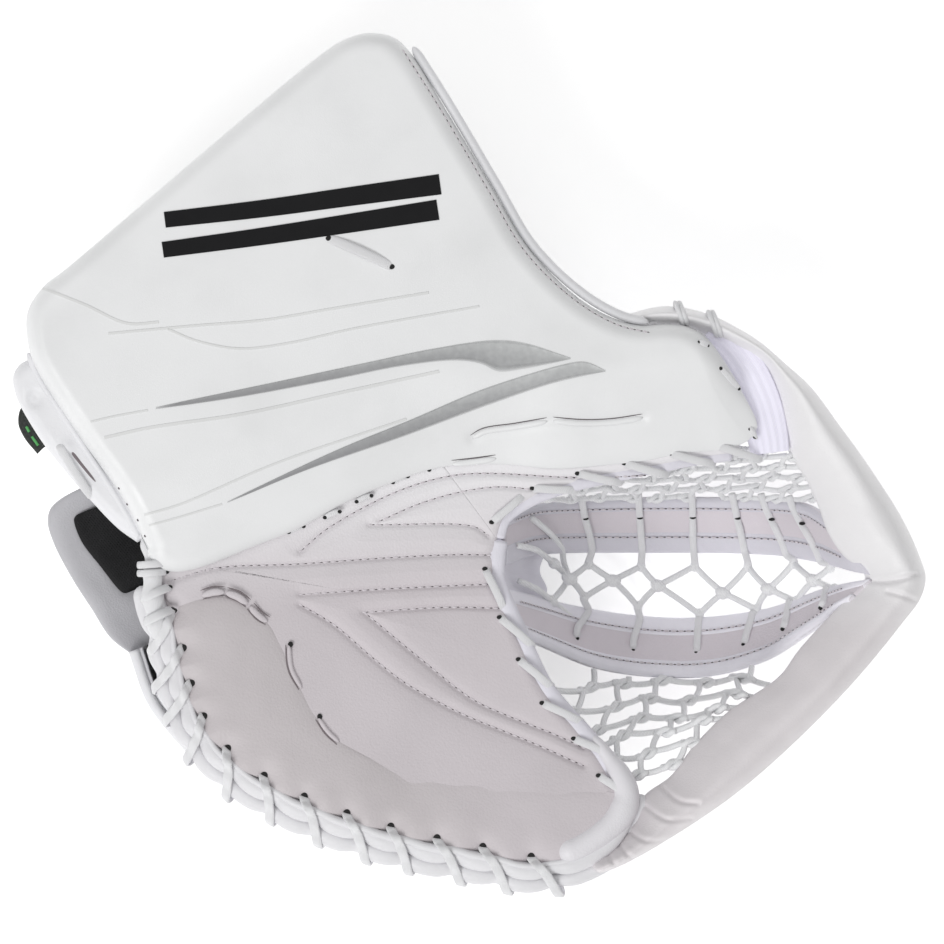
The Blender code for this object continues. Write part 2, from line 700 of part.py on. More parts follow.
def strap_point(along, across, height):
    """A point of the wrist strap, from its own directions."""
    x = STRAP_ORIGIN[0] + STRAP_ALONG[0] * along + STRAP_ALONG[1] * across
    y = STRAP_ORIGIN[1] + STRAP_ALONG[1] * along - STRAP_ALONG[0] * across
    return (x, y, height)


def make_wrist_strap(parent):
    """The strap round the wrist, its soft pad and its pull tab."""
    half = WRIST_STRAP_THICKNESS / 2 + 0.4
    profile = [                      # along the strap, height
        (-61, 74), (-60, 56), (-56, 34), (-46, 15), (-30, 5), (-14, half), (0, half),
        (14, half), (30, 5), (46, 15), (56, 34), (60, 56), (61, 74),
    ]
    edges = [
        [strap_point(s, side * STRAP_WIDTH / 2, z) for s, z in profile] for side in (-1, 1)
    ]
    band("wrist_strap", *edges, 24, 2, WRIST_STRAP_THICKNESS, "white_leather", parent)
    pad_profile = [(-40, 17.5), (-26, 10.5), (-12, 8), (12, 8), (26, 10.5), (40, 17.5)]
    pad_edges = [
        [strap_point(s, side * STRAP_WIDTH * 0.42, z) for s, z in pad_profile]
        for side in (-1, 1)
    ]
    band("wrist_strap_pad", *pad_edges, 10, 3, 6.0, "black_liner", parent)
    tab = [
        [strap_point(s, side * 11.0 + 6.0, z) for s, z in ((-63.4, 66), (-74, 69), (-85, 72))]
        for side in (-1, 1)
    ]
    band("strap_pull_tab", *tab, 5, 2, 1.2, "black_tab", parent)


# --------------------------------------------------------------------- build
for leftover in list(bpy.data.objects):
    bpy.data.objects.remove(leftover)
MATERIALS = {name: make_material(name) for name in COLOURS}

glove_close = hinge_empty("glove_close_axis", (0.0, FOLD_Y, FOLD_Z))
pocket_follow = hinge_empty("pocket_follow_axis", (0.0, FOLD_Y, FOLD_Z))
strap_hinge = hinge_empty("wrist_strap_axis", strap_point(STRAP_HINGE_S, 0.0, STRAP_HINGE_Z))
flap_hinge = hinge_empty("wrist_flap_axis", (*FLAP_SEAM[0], FLAP_Z))

make_cuff(glove_close)
make_thumb_side(glove_close)
make_pocket(pocket_follow, glove_close)
make_finger_side()
make_perimeter()
make_back()
make_wrist_flap(flap_hinge)
make_wrist_strap(strap_hinge)
bpy.context.view_layer.update()
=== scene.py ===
"""Ice hockey goalie catch glove: its leather, laces, nets and lining.

Everything is drawn in millimetres on the CAD part's own drawing axes: +X from
the wrist to the rim's tip, +Y from the fingers to the end of the cuff, and +Z
out of the palm.  piece() turns a shape into an object in the part's frame.
"""
import json
import bmesh
import bpy
import numpy as np
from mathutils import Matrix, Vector, noise


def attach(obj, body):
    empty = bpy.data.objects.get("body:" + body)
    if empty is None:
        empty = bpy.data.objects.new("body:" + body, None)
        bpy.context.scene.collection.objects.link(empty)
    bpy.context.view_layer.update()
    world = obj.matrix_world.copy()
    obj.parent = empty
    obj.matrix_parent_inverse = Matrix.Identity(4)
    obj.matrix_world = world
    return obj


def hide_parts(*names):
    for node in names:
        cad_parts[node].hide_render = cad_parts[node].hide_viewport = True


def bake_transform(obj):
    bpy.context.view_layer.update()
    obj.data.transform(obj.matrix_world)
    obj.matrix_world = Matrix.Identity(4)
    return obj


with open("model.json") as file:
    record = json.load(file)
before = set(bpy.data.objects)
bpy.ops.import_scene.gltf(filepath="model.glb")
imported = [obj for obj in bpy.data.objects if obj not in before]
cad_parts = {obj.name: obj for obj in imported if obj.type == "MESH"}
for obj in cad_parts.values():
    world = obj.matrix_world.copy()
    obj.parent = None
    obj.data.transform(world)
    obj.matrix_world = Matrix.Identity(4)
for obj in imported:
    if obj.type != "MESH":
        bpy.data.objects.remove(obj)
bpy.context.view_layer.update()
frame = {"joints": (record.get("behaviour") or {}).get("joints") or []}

# ------------------------------------------------------------ frame and sizes
MM = 0.001
JOINTS = {joint["name"]: joint for joint in frame["joints"]}
FOLD_Y = -51.0
FOLD = np.array(JOINTS["glove_close"]["pos_m"]) / MM
SHIFT = np.array([FOLD[0], FOLD[1] - FOLD_Y, 0.0])   # drawing axes to the frame
FACE_Z = 80.0   # level of the palm face, which rises away from its middle
FACE_RISE_X = 0.0002
FACE_RISE_Y = 0.0005
CUFF_TOP = 16.0   # the board's face above the palm face
ACROSS_FOLD = ("finger_side", "thumb_side", (0, FOLD_Y - 19, 0), (0, FOLD_Y + 19, 0))
ACROSS_TIP = ("finger_side", "thumb_side", (0, FOLD_Y - 26, 0), (0, FOLD_Y + 26, 0))

CUFF_UPPER = [
    (-142, -38), (-153.6, -15), (-171.6, 11), (-191, 42), (-194, 52), (-194, 66), (-187, 77),
    (-178, 84), (-66, 177), (-55, 184), (-44, 187), (-33, 185), (-25.5, 178), (-11, 155),
    (9, 122), (26, 94), (48, 72), (64, 63), (75.5, 60.3), (86, 60.6), (94, 60), (102, 56.4),
    (107, 51.5), (111, 46), (116, 38), (121.5, 28), (126, 19), (126.8, 15.5),
]
CUFF_LOWER = [
    (-142, -41), (-138, -46), (-130, -48.5), (-119, -46.5), (-97, -38), (-75, -29),
    (-57, -19), (-34, -9), (-14, -2.5), (13, -1), (38, -3), (59, -1.5), (77, 0.5), (95, 4),
    (112, 5.5), (122, 9), (125.5, 12.5),
]
PALM_EDGE = [
    (-136, -54), (-135, -65), (-132, -83), (-128, -100), (-121, -117), (-109, -132),
    (-93, -144), (-75, -154), (-55, -162), (-35, -168), (-14.5, -173), (6, -175.6),
    (28.6, -177), (44, -174), (57, -167), (65, -155), (66, -146),
]
POCKET_EDGE = [
    (12, -34), (11, -42), (11, -52), (16, -65), (24, -83), (33, -101), (53, -124.5),
    (63, -141),
]
THUMB_EDGE = [(12, -34), (15, -25), (24, -18), (38, -12), (59, -6.6), (77, -3), (95.5, 1), (116, 4)]
PAD_INNER = [
    (-134.5, -67), (-126, -62), (-118, -60), (-108, -59.5), (-98, -64), (-89, -71), (-83, -80),
    (-78, -90), (-73, -101), (-67, -112), (-58, -122), (-45, -130), (-28, -136.5), (5, -141),
    (39.6, -144.5), (59, -145),
]
RIM_OUTER = [
    (68, 65), (86, 69), (104, 66), (119, 59), (128.5, 53), (139, 44), (151, 33), (163, 17),
    (178, -4), (191.5, -25.5), (199.4, -43), (201.6, -51), (199.4, -60), (191.5, -71), (172, -95),
    (145, -123), (118, -146.5), (91, -165), (66, -179), (57, -182),
]
RIM_INNER = [
    (70, 59.5), (86, 59), (100, 56.5), (116, 50), (128.5, 43), (134.5, 31), (138, 15), (141.5, 4),
    (149.5, -9), (154.5, -20), (158.5, -31), (165, -41), (175, -51), (165, -62), (146, -83), (137, -95),
    (114, -111), (99, -126), (89, -139), (77, -148), (72, -158), (64, -168), (52, -176),
]
STITCH_LINES = {
    "under_cuff": [(-75, -39.6), (-63, -29.5), (-32.6, -13.2), (-10, -6.4), (6, -5), (50, -7), (77, -6)],
    "thumb_crotch": [(-40.5, -26.4), (-22.4, -18.5), (-4, -13.2), (12, -11), (26, -12), (36, -13.5)],
    "break_top": [(-44.4, -27.7), (1.8, -28.6), (8, -32.6)],
    "break_upper": [(-132, -52.4), (-113, -47), (-75, -45), (-34, -42.2), (-4, -40.9), (10, -41.2)],
    "break_lower": [(-75, -58.5), (-34, -55.9), (10, -53.9)],
    "finger_top": [(-47, -66.4), (-10, -64.2), (15, -64.7)],
    "finger_long": [(-75, -63), (-60, -72), (-43.6, -86), (-29.5, -97), (-17, -104.3),
                    (-4, -111), (30, -125), (50, -134)],
    "finger_short": [(-46, -67), (-23, -86), (1, -104.7), (16, -111.8), (36, -119.7), (50, -126)],
}
STRAP_1_UPPER = [
    (14, -24, 76), (28, -19, 46), (50, -17, 26), (80, -16, 18), (110, -16, 18),
    (136, -16.5, 26), (150, -18.5, 46), (159, -25, 68), (168, -34, 82),
]
STRAP_1_LOWER = [
    (14, -46, 76), (28, -42, 42), (50, -41, 15), (80, -41, 4), (110, -41, 4),
    (138, -42, 12), (158, -45, 40), (172, -48.5, 76), (178, -49.5, 82),
]
STRAP_2_UPPER = [
    (14, -56, 76), (28, -60, 42), (50, -66, 15), (80, -70.5, 4), (105, -71, 4),
    (135, -67, 12), (158, -58, 40), (172, -53.5, 76), (178, -52.5, 82),
]
STRAP_2_LOWER = [
    (20, -76, 76), (36, -84, 48), (57, -93, 28), (80, -97, 20), (108, -97, 20),
    (132, -90, 28), (150, -77, 52), (164, -65, 76), (168, -62, 82),
]


# ------------------------------------------------------------------ geometry
def unit(vectors):
    """Vectors of length one."""
    return vectors / np.maximum(np.linalg.norm(vectors, axis=-1, keepdims=True), 1e-9)


def curve(points, count=None, step=None):
    """A smooth curve through the points, evenly spaced, by count or by step in mm."""
    pts = np.array(points, float)
    ends = np.vstack([2 * pts[0] - pts[1], pts, 2 * pts[-1] - pts[-2]])
    share = np.linspace(0, 1, 24, endpoint=False)[:, None]
    fine = []
    for a, b, c, d in zip(ends, ends[1:], ends[2:], ends[3:]):
        t1 = np.sqrt(np.linalg.norm(b - a))
        t2 = t1 + np.sqrt(np.linalg.norm(c - b))
        t3 = t2 + np.sqrt(np.linalg.norm(d - c))
        t = t1 + (t2 - t1) * share
        ab = a + (b - a) * t / t1
        bc = b + (c - b) * share
        cd = c + (d - c) * (t - t2) / (t3 - t2)
        low = ab + (bc - ab) * t / t2
        high = bc + (cd - bc) * (t - t1) / (t3 - t1)
        fine.append(low + (high - low) * share)
    fine = np.vstack(fine + [pts[-1:]])
    along = np.concatenate([[0], np.cumsum(np.linalg.norm(np.diff(fine, axis=0), axis=1))])
    if count is None:
        count = max(2, int(round(along[-1] / step)) + 1)
    want = np.linspace(0, along[-1], count)
    return np.stack([np.interp(want, along, fine[:, k]) for k in range(pts.shape[1])], 1)


def length_of(line):
    """Length of a polyline."""
    return np.linalg.norm(np.diff(line, axis=0), axis=1).sum()


def face(x, y):
    """Height of the palm face."""
    return FACE_Z + FACE_RISE_X * (x + 10) ** 2 + FACE_RISE_Y * (y - FOLD_Y) ** 2


def face_at(points):
    """Height of the palm face at 2-D points or over a 2-D grid."""
    return face(points[..., 0], points[..., 1])


def on_face(points, height):
    """2-D points as 3-D ones, at a height off the palm face."""
    return np.column_stack([points, face_at(points) + height])


def distance(points, line):
    """Distance from each 2-D point to a 2-D polyline."""
    best = np.full(len(points), 1e9)
    for a, b in zip(line[:-1], line[1:]):
        along = b - a
        t = np.clip(((points - a) @ along) / max(along @ along, 1e-9), 0, 1)
        best = np.minimum(best, np.linalg.norm(points - a - t[:, None] * along, axis=1))
    return best


def sideways(line):
    """Unit normals on the right-hand side of a 2-D polyline."""
    along = unit(np.gradient(line, axis=0))
    return np.column_stack([along[:, 1], -along[:, 0]])


def wobble(points, scale, seed=0.0):
    """Smooth noise from -1 to 1; scale is the size of its waves in mm."""
    return np.array([noise.noise(Vector((*(p[:2] / scale), seed))) for p in points])


def smooth_step(value, low, high):
    """0 below low, 1 above high, and smooth between."""
    t = np.clip((value - low) / (high - low), 0, 1)
    return t * t * (3 - 2 * t)


def grid_faces(rows, columns, start=0, wrap=False):
    """Quads of a grid of points, row by row; wrap joins the last column to the first."""
    j, i = np.mgrid[0:rows - 1, 0:columns - (0 if wrap else 1)]
    right = (i + 1) % columns
    quads = np.stack([j * columns + i, j * columns + right,
                      (j + 1) * columns + right, (j + 1) * columns + i], -1)
    return (quads.reshape(-1, 4) + start).tolist()


def joined(shapes):
    """Several shapes as one."""
    points, faces, start = [], [], 0
    for shape_points, shape_faces in shapes:
        points.append(shape_points)
        faces += [[k + start for k in quad] for quad in shape_faces]
        start += len(shape_points)
    return np.vstack(points), faces


def spread(count, crowding=1.0):
    """Shares from 0 to 1, crowded towards both ends."""
    even = np.linspace(0, 1, count)
    return (1 - crowding) * even + crowding * (1 - np.cos(np.pi * even)) / 2


def frames(path, up=None):
    """Tangent, side and up vectors along a path."""
    tangent = unit(np.gradient(path, axis=0))
    if up is None:
        up = np.empty_like(path)
        first = np.array([0.0, 0.0, 1.0]) if abs(tangent[0, 2]) < 0.9 else np.array([1.0, 0, 0])
        for i in range(len(path)):
            first = first - tangent[i] * (first @ tangent[i])
            first = first / np.linalg.norm(first)
            up[i] = first
    else:
        up = np.broadcast_to(np.asarray(up, float), path.shape)
        up = unit(up - tangent * (up * tangent).sum(1, keepdims=True))
    return tangent, np.cross(tangent, up), up


def swept(path, width, height=None, sides=10, up=None, square=1.0):
    """A closed strand along a path. Its section is width by height; square below 1 flattens it."""
    width = np.broadcast_to(width, len(path))
    height = width if height is None else np.broadcast_to(height, len(path))
    _, side, lift = frames(path, up)
    turn = np.arange(sides) * 2 * np.pi / sides
    c = np.sign(np.cos(turn)) * np.abs(np.cos(turn)) ** square
    s = np.sign(np.sin(turn)) * np.abs(np.sin(turn)) ** square
    points = (
        path[:, None]
        + side[:, None] * (c[None, :, None] * width[:, None, None] / 2)
        + lift[:, None] * (s[None, :, None] * height[:, None, None] / 2)
    ).reshape(-1, 3)
    faces = grid_faces(len(path), sides, wrap=True)
    last = (len(path) - 1) * sides
    return points, faces + [list(range(sides))[::-1], list(range(last, last + sides))]


def rounded_ends(path, width, radius):
    """The strand's width along the path, drawn in over its last few millimetres."""
    along = np.concatenate([[0], np.cumsum(np.linalg.norm(np.diff(path, axis=0), axis=1))])
    near = np.minimum(along, along[-1] - along)
    share = np.clip(near / radius, 0, 1)
    return width * np.sqrt(np.clip(1 - (1 - share) ** 2, 0.04, 1))


def blob(centre, radii, rings=7, sides=10, axes=None):
    """A closed rounded lump."""
    axes = np.eye(3) if axes is None else axes
    lat = np.linspace(-np.pi / 2 + 0.25, np.pi / 2 - 0.25, rings)
    turn = np.arange(sides) * 2 * np.pi / sides
    unit_points = np.stack([
        np.cos(lat)[:, None] * np.cos(turn), np.cos(lat)[:, None] * np.sin(turn),
        np.broadcast_to(np.sin(lat)[:, None], (rings, sides)),
    ], -1).reshape(-1, 3)
    points = (unit_points * radii) @ axes + centre
    last = (rings - 1) * sides
    faces = grid_faces(rings, sides, wrap=True)
    return points, faces + [list(range(sides))[::-1], list(range(last, last + sides))]


def slab(top, bottom):
    """A closed solid between two grids of points, each rows by columns by 3."""
    rows, columns = top.shape[:2]
    size = rows * columns
    ring = [(0, i) for i in range(columns)] + [(j, columns - 1) for j in range(1, rows)]
    ring += [(rows - 1, i) for i in range(columns - 2, -1, -1)]
    ring += [(j, 0) for j in range(rows - 2, 0, -1)]
    ring = [j * columns + i for j, i in ring]
    faces = grid_faces(rows, columns)
    faces += [[size + k for k in quad[::-1]] for quad in grid_faces(rows, columns)]
    faces += [[b, a, size + a, size + b] for a, b in zip(ring, ring[1:] + ring[:1])]
    return np.vstack([top.reshape(-1, 3), bottom.reshape(-1, 3)]), faces


def raised(grid, height):
    """A 2-D grid as a 3-D one, with a height for each point."""
    return np.dstack([grid, np.reshape(height, grid.shape[:2])])


def backed(top, level, least):
    """A slab from this top down to the level, and at least this thick."""
    bottom = top.copy()
    bottom[..., 2] = np.minimum(level, top[..., 2] - least)
    return slab(top, bottom)


def ruled(edge_a, edge_b, columns, rows, crowding=(0.9, 0.9)):
    """A grid of points between two curves, crowded towards its edges."""
    a = curve(edge_a, 6 * columns)
    b = curve(edge_b, 6 * columns)
    pick = spread(columns, crowding[0]) * (len(a) - 1)
    whole = np.arange(len(a))
    a = np.stack([np.interp(pick, whole, a[:, k]) for k in range(a.shape[1])], 1)
    b = np.stack([np.interp(pick, whole, b[:, k]) for k in range(b.shape[1])], 1)
    share = spread(rows, crowding[1])[:, None, None]
    return a[None] + (b - a)[None] * share


def outline_of(grid):
    """The closed edge of a grid, as 2-D points."""
    flat = grid[..., :2]
    return np.vstack([flat[0], flat[1:, -1], flat[-1, ::-1][1:], flat[::-1, 0][1:]])


def rounding(gap, radius):
    """How far an edge of this radius has fallen, 0 to 1, at a point this far inside it."""
    share = np.clip(gap / radius, 0, 1)
    return 1 - np.sqrt(np.clip(1 - (1 - share) ** 2, 0, 1))


def crown(grid, radius):
    """How far a rounded edge of this radius falls below the top at each grid point, 0 to 1."""
    edge = distance(grid.reshape(-1, grid.shape[-1])[:, :2], outline_of(grid))
    return rounding(edge, radius).reshape(grid.shape[:2])


def normals_of(grid):
    """Unit normals of a grid of 3-D points."""
    return unit(np.cross(np.gradient(grid, axis=1), np.gradient(grid, axis=0)))


# ----------------------------------------------------------------- materials
class Nodes:
    """Short-hand for building one node material."""

    def __init__(self, name, colour, roughness, sheen=0.0, coat=0.0):
        self.material = bpy.data.materials.new(name)
        self.material.use_nodes = True
        self.tree = self.material.node_tree
        self.shader = self.tree.nodes["Principled BSDF"]
        self.shader.inputs["Base Color"].default_value = (*colour, 1)
        self.shader.inputs["Roughness"].default_value = roughness
        self.shader.inputs["Sheen Weight"].default_value = sheen
        self.shader.inputs["Coat Weight"].default_value = coat
        self.shader.inputs["Coat Roughness"].default_value = 0.35
        self.place = self.add("ShaderNodeTexCoord").outputs["Object"]

    def add(self, kind, **settings):
        """A new node with these settings."""
        node = self.tree.nodes.new(kind)
        for key, value in settings.items():
            setattr(node, key, value)
        return node

    def link(self, source, target):
        self.tree.links.new(source, target)

    def math(self, operation, a, b):
        """The result of a sum on sockets or numbers."""
        node = self.add("ShaderNodeMath", operation=operation)
        for socket, value in zip(node.inputs, (a, b)):
            if isinstance(value, (int, float)):
                socket.default_value = value
            else:
                self.link(value, socket)
        return node.outputs[0]

    def noise(self, size, detail=3.0):
        """Noise with waves of this size in millimetres."""
        node = self.add("ShaderNodeTexNoise")
        node.inputs["Scale"].default_value = 1 / (size * MM)
        node.inputs["Detail"].default_value = detail
        self.link(self.place, node.inputs["Vector"])
        return node.outputs["Fac"]

    def cells(self, size):
        """Pebble cells of this size in millimetres."""
        node = self.add("ShaderNodeTexVoronoi")
        node.inputs["Scale"].default_value = 1 / (size * MM)
        self.link(self.place, node.inputs["Vector"])
        return node.outputs["Distance"]

    def ramp(self, value, stops):
        """A colour or grey ramp; stops are (place, colour or grey)."""
        node = self.add("ShaderNodeValToRGB")
        while len(node.color_ramp.elements) < len(stops):
            node.color_ramp.elements.new(0.5)
        for element, (place, colour) in zip(node.color_ramp.elements, stops):
            element.position = place
            shade = (colour,) * 3 if isinstance(colour, (int, float)) else colour
            element.color = (*shade, 1)
        self.link(value, node.inputs["Fac"])
        return node.outputs["Color"]

    def paint(self, colour):
        """Give the surface this colour socket."""
        self.link(colour, self.shader.inputs["Base Color"])

    def faded(self, paint, colour, slope, low, high):
        """The paint, turning to another colour where y + slope * x goes from low to high: painted light
        and shade across a part.
        """
        split = self.add("ShaderNodeSeparateXYZ")
        self.link(self.place, split.inputs[0])
        lean = self.math("MULTIPLY", split.outputs["X"], slope)
        base = SHIFT[1] + slope * SHIFT[0]
        span = self.add("ShaderNodeMapRange", interpolation_type="SMOOTHSTEP")
        span.inputs["From Min"].default_value = (base + low) * MM
        span.inputs["From Max"].default_value = (base + high) * MM
        self.link(self.math("ADD", split.outputs["Y"], lean), span.inputs["Value"])
        mix = self.add("ShaderNodeMix", data_type="RGBA")
        self.link(span.outputs["Result"], mix.inputs["Factor"])
        self.link(paint, mix.inputs[6])
        mix.inputs[7].default_value = (*colour, 1)
        return mix.outputs[2]

    def rough(self, value, low, high):
        """Roughness from low to high as the value rises."""
        self.link(self.ramp(value, [(0.3, low), (0.7, high)]), self.shader.inputs["Roughness"])

    def bumps(self, *layers):
        """Bump layers, each (height, depth in millimetres)."""
        normal = None
        for height, depth in layers:
            node = self.add("ShaderNodeBump")
            node.inputs["Distance"].default_value = depth * MM
            self.link(height, node.inputs["Height"])
            if normal:
                self.link(normal, node.inputs["Normal"])
            normal = node.outputs["Normal"]
        self.link(normal, self.shader.inputs["Normal"])
        return self.material


def shaded(colour, amount):
    """A colour made darker or lighter by a share."""
    return tuple(min(1.0, c * (1 + amount)) for c in colour)


def leather(name, colour, roughness, grain=0.9, depth=0.12, crease=0.25, coat=0.0, fade=None):
    """Grained leather: pebble cells, fine pores, soft creases and handling marks; fade, where given,
    paints light and shade across the part.
    """
    n = Nodes(name, colour, roughness, coat=coat)
    cloud = n.noise(38, 4)
    paint = n.ramp(cloud, [
        (0.30, shaded(colour, -0.045)), (0.52, colour), (0.75, shaded(colour, 0.02)),
    ])
    n.paint(n.faded(paint, *fade) if fade else paint)
    n.rough(n.noise(9, 5), roughness - 0.07, roughness + 0.09)
    return n.bumps((n.noise(24, 3), crease), (n.cells(grain), depth), (n.noise(0.35, 2), depth * 0.5))


def set_shader(material, setting, value):
    """Set one value of a material's surface."""
    material.node_tree.nodes["Principled BSDF"].inputs[setting].default_value = value


def thread_material():
    """The grey-rose sewing thread."""
    n = Nodes("Stitch_Thread", (0.66, 0.62, 0.65), 0.6, sheen=0.3)
    n.paint(n.ramp(n.noise(2), [(0.3, (0.60, 0.56, 0.59)), (0.7, (0.72, 0.68, 0.71))]))
    return n.bumps((n.noise(0.4), 0.1))


def make_materials():
    """Every finish by name."""
    made = {
        "board": leather("Board_Leather", (0.86, 0.865, 0.87), 0.40, 0.55, 0.035, 0.10, 0.08),
        "white": leather("White_Leather", (0.83, 0.83, 0.85), 0.46, 0.8, 0.07, 0.22),
        # Painted shade: the flap's white leather is made grey, for the shade it lies in at the wrist.
        "flap": leather("Flap_Leather_Painted_Shade", (0.54, 0.535, 0.56), 0.5, 0.8, 0.09, 0.5),
        # Painted light and shade: the rim's colour lightens from the finger side to the thumb side,
        # where more light falls.
        "rim": leather("Rim_Leather", (0.745, 0.71, 0.725), 0.44, 0.9, 0.08, 0.35,
                       fade=((0.88, 0.87, 0.88), 0.0, -80, -46)),
        "corner": leather("Corner_Leather", (0.80, 0.785, 0.815), 0.48, 0.8, 0.08, 0.35),
        # Painted shade and light: the palm's colour darkens towards the fingers, for the shade in the
        # hollow beside the pad, and lightens towards the cuff.
        "palm": leather("Palm_Leather", (0.635, 0.59, 0.614), 0.56, 1.0, 0.11, 0.35,
                        fade=((0.86, 0.845, 0.865), -0.1, -60, 0)),
        "strap_face": leather("Strap_Face_Leather", (0.73, 0.68, 0.72), 0.56, 1.0, 0.11, 0.35),
        # Painted light and shade: the pad's colour lightens a little from its wrist end towards the
        # pocket.
        "pad": leather("Pad_Leather", (0.595, 0.555, 0.567), 0.55, 1.0, 0.11, 0.5,
                       fade=((0.62, 0.576, 0.598), 4.0, -300, -40)),
        "strap": leather("Strap_Leather", (0.78, 0.765, 0.83), 0.55, 0.9, 0.10, 0.25),
        # Lit and shaded copies of one binding leather: the upper strap's binding is painted darker for
        # its shade, the lower strap's lighter for the light on it.
        "binding_upper": leather("Upper_Binding_Painted_Shade", (0.70, 0.685, 0.745), 0.55, 0.9, 0.10, 0.25),
        "binding_lower": leather("Lower_Binding_Painted_Light", (0.88, 0.865, 0.925), 0.55, 0.9, 0.10, 0.25),
        # Painted shade: the roll leather is greyer than the white leather, for the shade on the rolls.
        "rolls": leather("Roll_Leather", (0.77, 0.765, 0.785), 0.48, 0.7, 0.08, 0.3),
    }
    made["thread"] = thread_material()
    made["lace"] = woven("Flat_Lace", (0.87, 0.87, 0.885), 0.62, 0.55, 0.16)
    made["cord"] = woven("Net_Cord", (0.90, 0.905, 0.915), 0.58, 0.9, 0.16)
    made["webbing"] = woven("Rim_Webbing", (0.86, 0.84, 0.95), 0.75, 0.8, 0.08)
    # Painted light: the webbing glows faintly, to look lit where it lies deep beside the rim.
    set_shader(made["webbing"], "Emission Color", (0.86, 0.84, 0.95, 1))
    set_shader(made["webbing"], "Emission Strength", 0.14)
    made["liner"] = woven("Black_Lining", (0.012, 0.012, 0.013), 0.9, 1.0, 0.2, sheen=0.0)
    # Painted shade: near-black blobs stand in for the shade inside lace holes.
    made["dark"] = woven("Lace_Hole_Painted_Shade", (0.012, 0.012, 0.012), 0.9, 0.8, 0.1)
    made["fold"] = leather("Fold_Shadow", (0.20, 0.17, 0.18), 0.8, 1.0, 0.1)
    # Painted shade: dark blobs for the shade in needle holes and pinholes, and dark strands for the
    # shadow beside the break's folds.
    made["pit"] = leather("Needle_Hole_Painted_Shade", (0.13, 0.11, 0.12), 0.8, 1.0, 0.1)
    made["print_black"] = leather("Black_Print", (0.010, 0.010, 0.011), 0.55, 0.6, 0.03, 0.05)
    set_shader(made["print_black"], "Specular IOR Level", 0.12)
    made["print_silver"] = silver_print()
    made["print_grey"] = leather("Grey_Print", (0.76, 0.765, 0.76), 0.42, 0.6, 0.03, 0.05)
    made["tab"] = woven("Tab_Rubber", (0.012, 0.016, 0.013), 0.5, 1.6, 0.15)
    made["tab_mark"] = leather("Tab_Mark", (0.10, 0.42, 0.12), 0.5, 0.6, 0.05)
    made["foam"] = leather("Lining_Foam", (0.10, 0.10, 0.11), 0.9, 1.4, 0.2)
    made["floor"] = floor_material()
    return made


def woven(name, colour, roughness, pitch, depth, sheen=0.25):
    """Woven or braided textile, its threads crossing at this pitch in millimetres."""
    n = Nodes(name, colour, roughness, sheen=sheen)
    waves = []
    for turn in (0.6, -0.6):
        spin = n.add("ShaderNodeMapping")
        spin.inputs["Rotation"].default_value = (turn, turn * 0.7, turn)
        n.link(n.place, spin.inputs["Vector"])
        wave = n.add("ShaderNodeTexWave")
        wave.inputs["Scale"].default_value = 0.31 / (pitch * MM)
        wave.inputs["Distortion"].default_value = 0.6
        n.link(spin.outputs["Vector"], wave.inputs["Vector"])
        waves.append(wave.outputs["Fac"])
    weave = n.math("MULTIPLY", waves[0], waves[1])
    dirt = n.noise(14, 4)
    shade = n.math("ADD", n.math("MULTIPLY", weave, 0.6), n.math("MULTIPLY", dirt, 0.5))
    n.paint(n.ramp(shade, [(0.15, shaded(colour, -0.10)), (0.6, colour), (0.9, shaded(colour, 0.04))]))
    n.rough(dirt, roughness - 0.06, roughness + 0.1)
    return n.bumps((weave, depth), (n.noise(0.5), depth * 0.5))


def silver_print():
    """The tapered flashes' ink: silver that darkens along its lower edge."""
    n = Nodes("Silver_Print", (0.5, 0.51, 0.51), 0.36)
    uv = n.add("ShaderNodeUVMap").outputs["UV"]
    split = n.add("ShaderNodeSeparateXYZ")
    n.link(uv, split.inputs[0])
    grain = n.math("MULTIPLY", n.math("SUBTRACT", n.noise(2.5, 5), 0.5), 0.35)
    along = n.math("MULTIPLY", split.outputs["X"], 0.62)
    across = n.math("MULTIPLY", split.outputs["Y"], 0.38)
    n.paint(n.ramp(n.math("ADD", n.math("ADD", along, across), grain), [
        (0.0, (0.33, 0.33, 0.335)), (0.25, (0.30, 0.30, 0.31)), (0.55, (0.38, 0.385, 0.39)),
        (0.85, (0.53, 0.54, 0.54)), (1.0, (0.66, 0.67, 0.67)),
    ]))
    fade = n.ramp(split.outputs["Y"], [(0.0, 0.15), (0.22, 1.0), (0.9, 1.0), (1.0, 0.4)])
    n.link(n.math("MULTIPLY", fade, n.ramp(split.outputs["X"], [(0.0, 0.3), (0.08, 1.0)])),
           n.shader.inputs["Alpha"])
    return n.bumps((n.noise(1.2), 0.03))


def floor_material():
    """A plain pale studio floor."""
    n = Nodes("Studio_Floor", (0.93, 0.93, 0.93), 0.8)
    n.paint(n.ramp(n.noise(400), [(0.3, 0.925), (0.7, 0.935)]))
    n.shader.inputs["Emission Color"].default_value = (1, 1, 1, 1)
    n.shader.inputs["Emission Strength"].default_value = 0.46
    return n.bumps((n.noise(60), 0.02))


MATERIALS = make_materials()


def faces_out(mesh):
    """Point a closed mesh's faces outwards."""
    solid = bmesh.new()
    solid.from_mesh(mesh)
    bmesh.ops.recalc_face_normals(solid, faces=solid.faces)
    solid.to_mesh(mesh)
    solid.free()


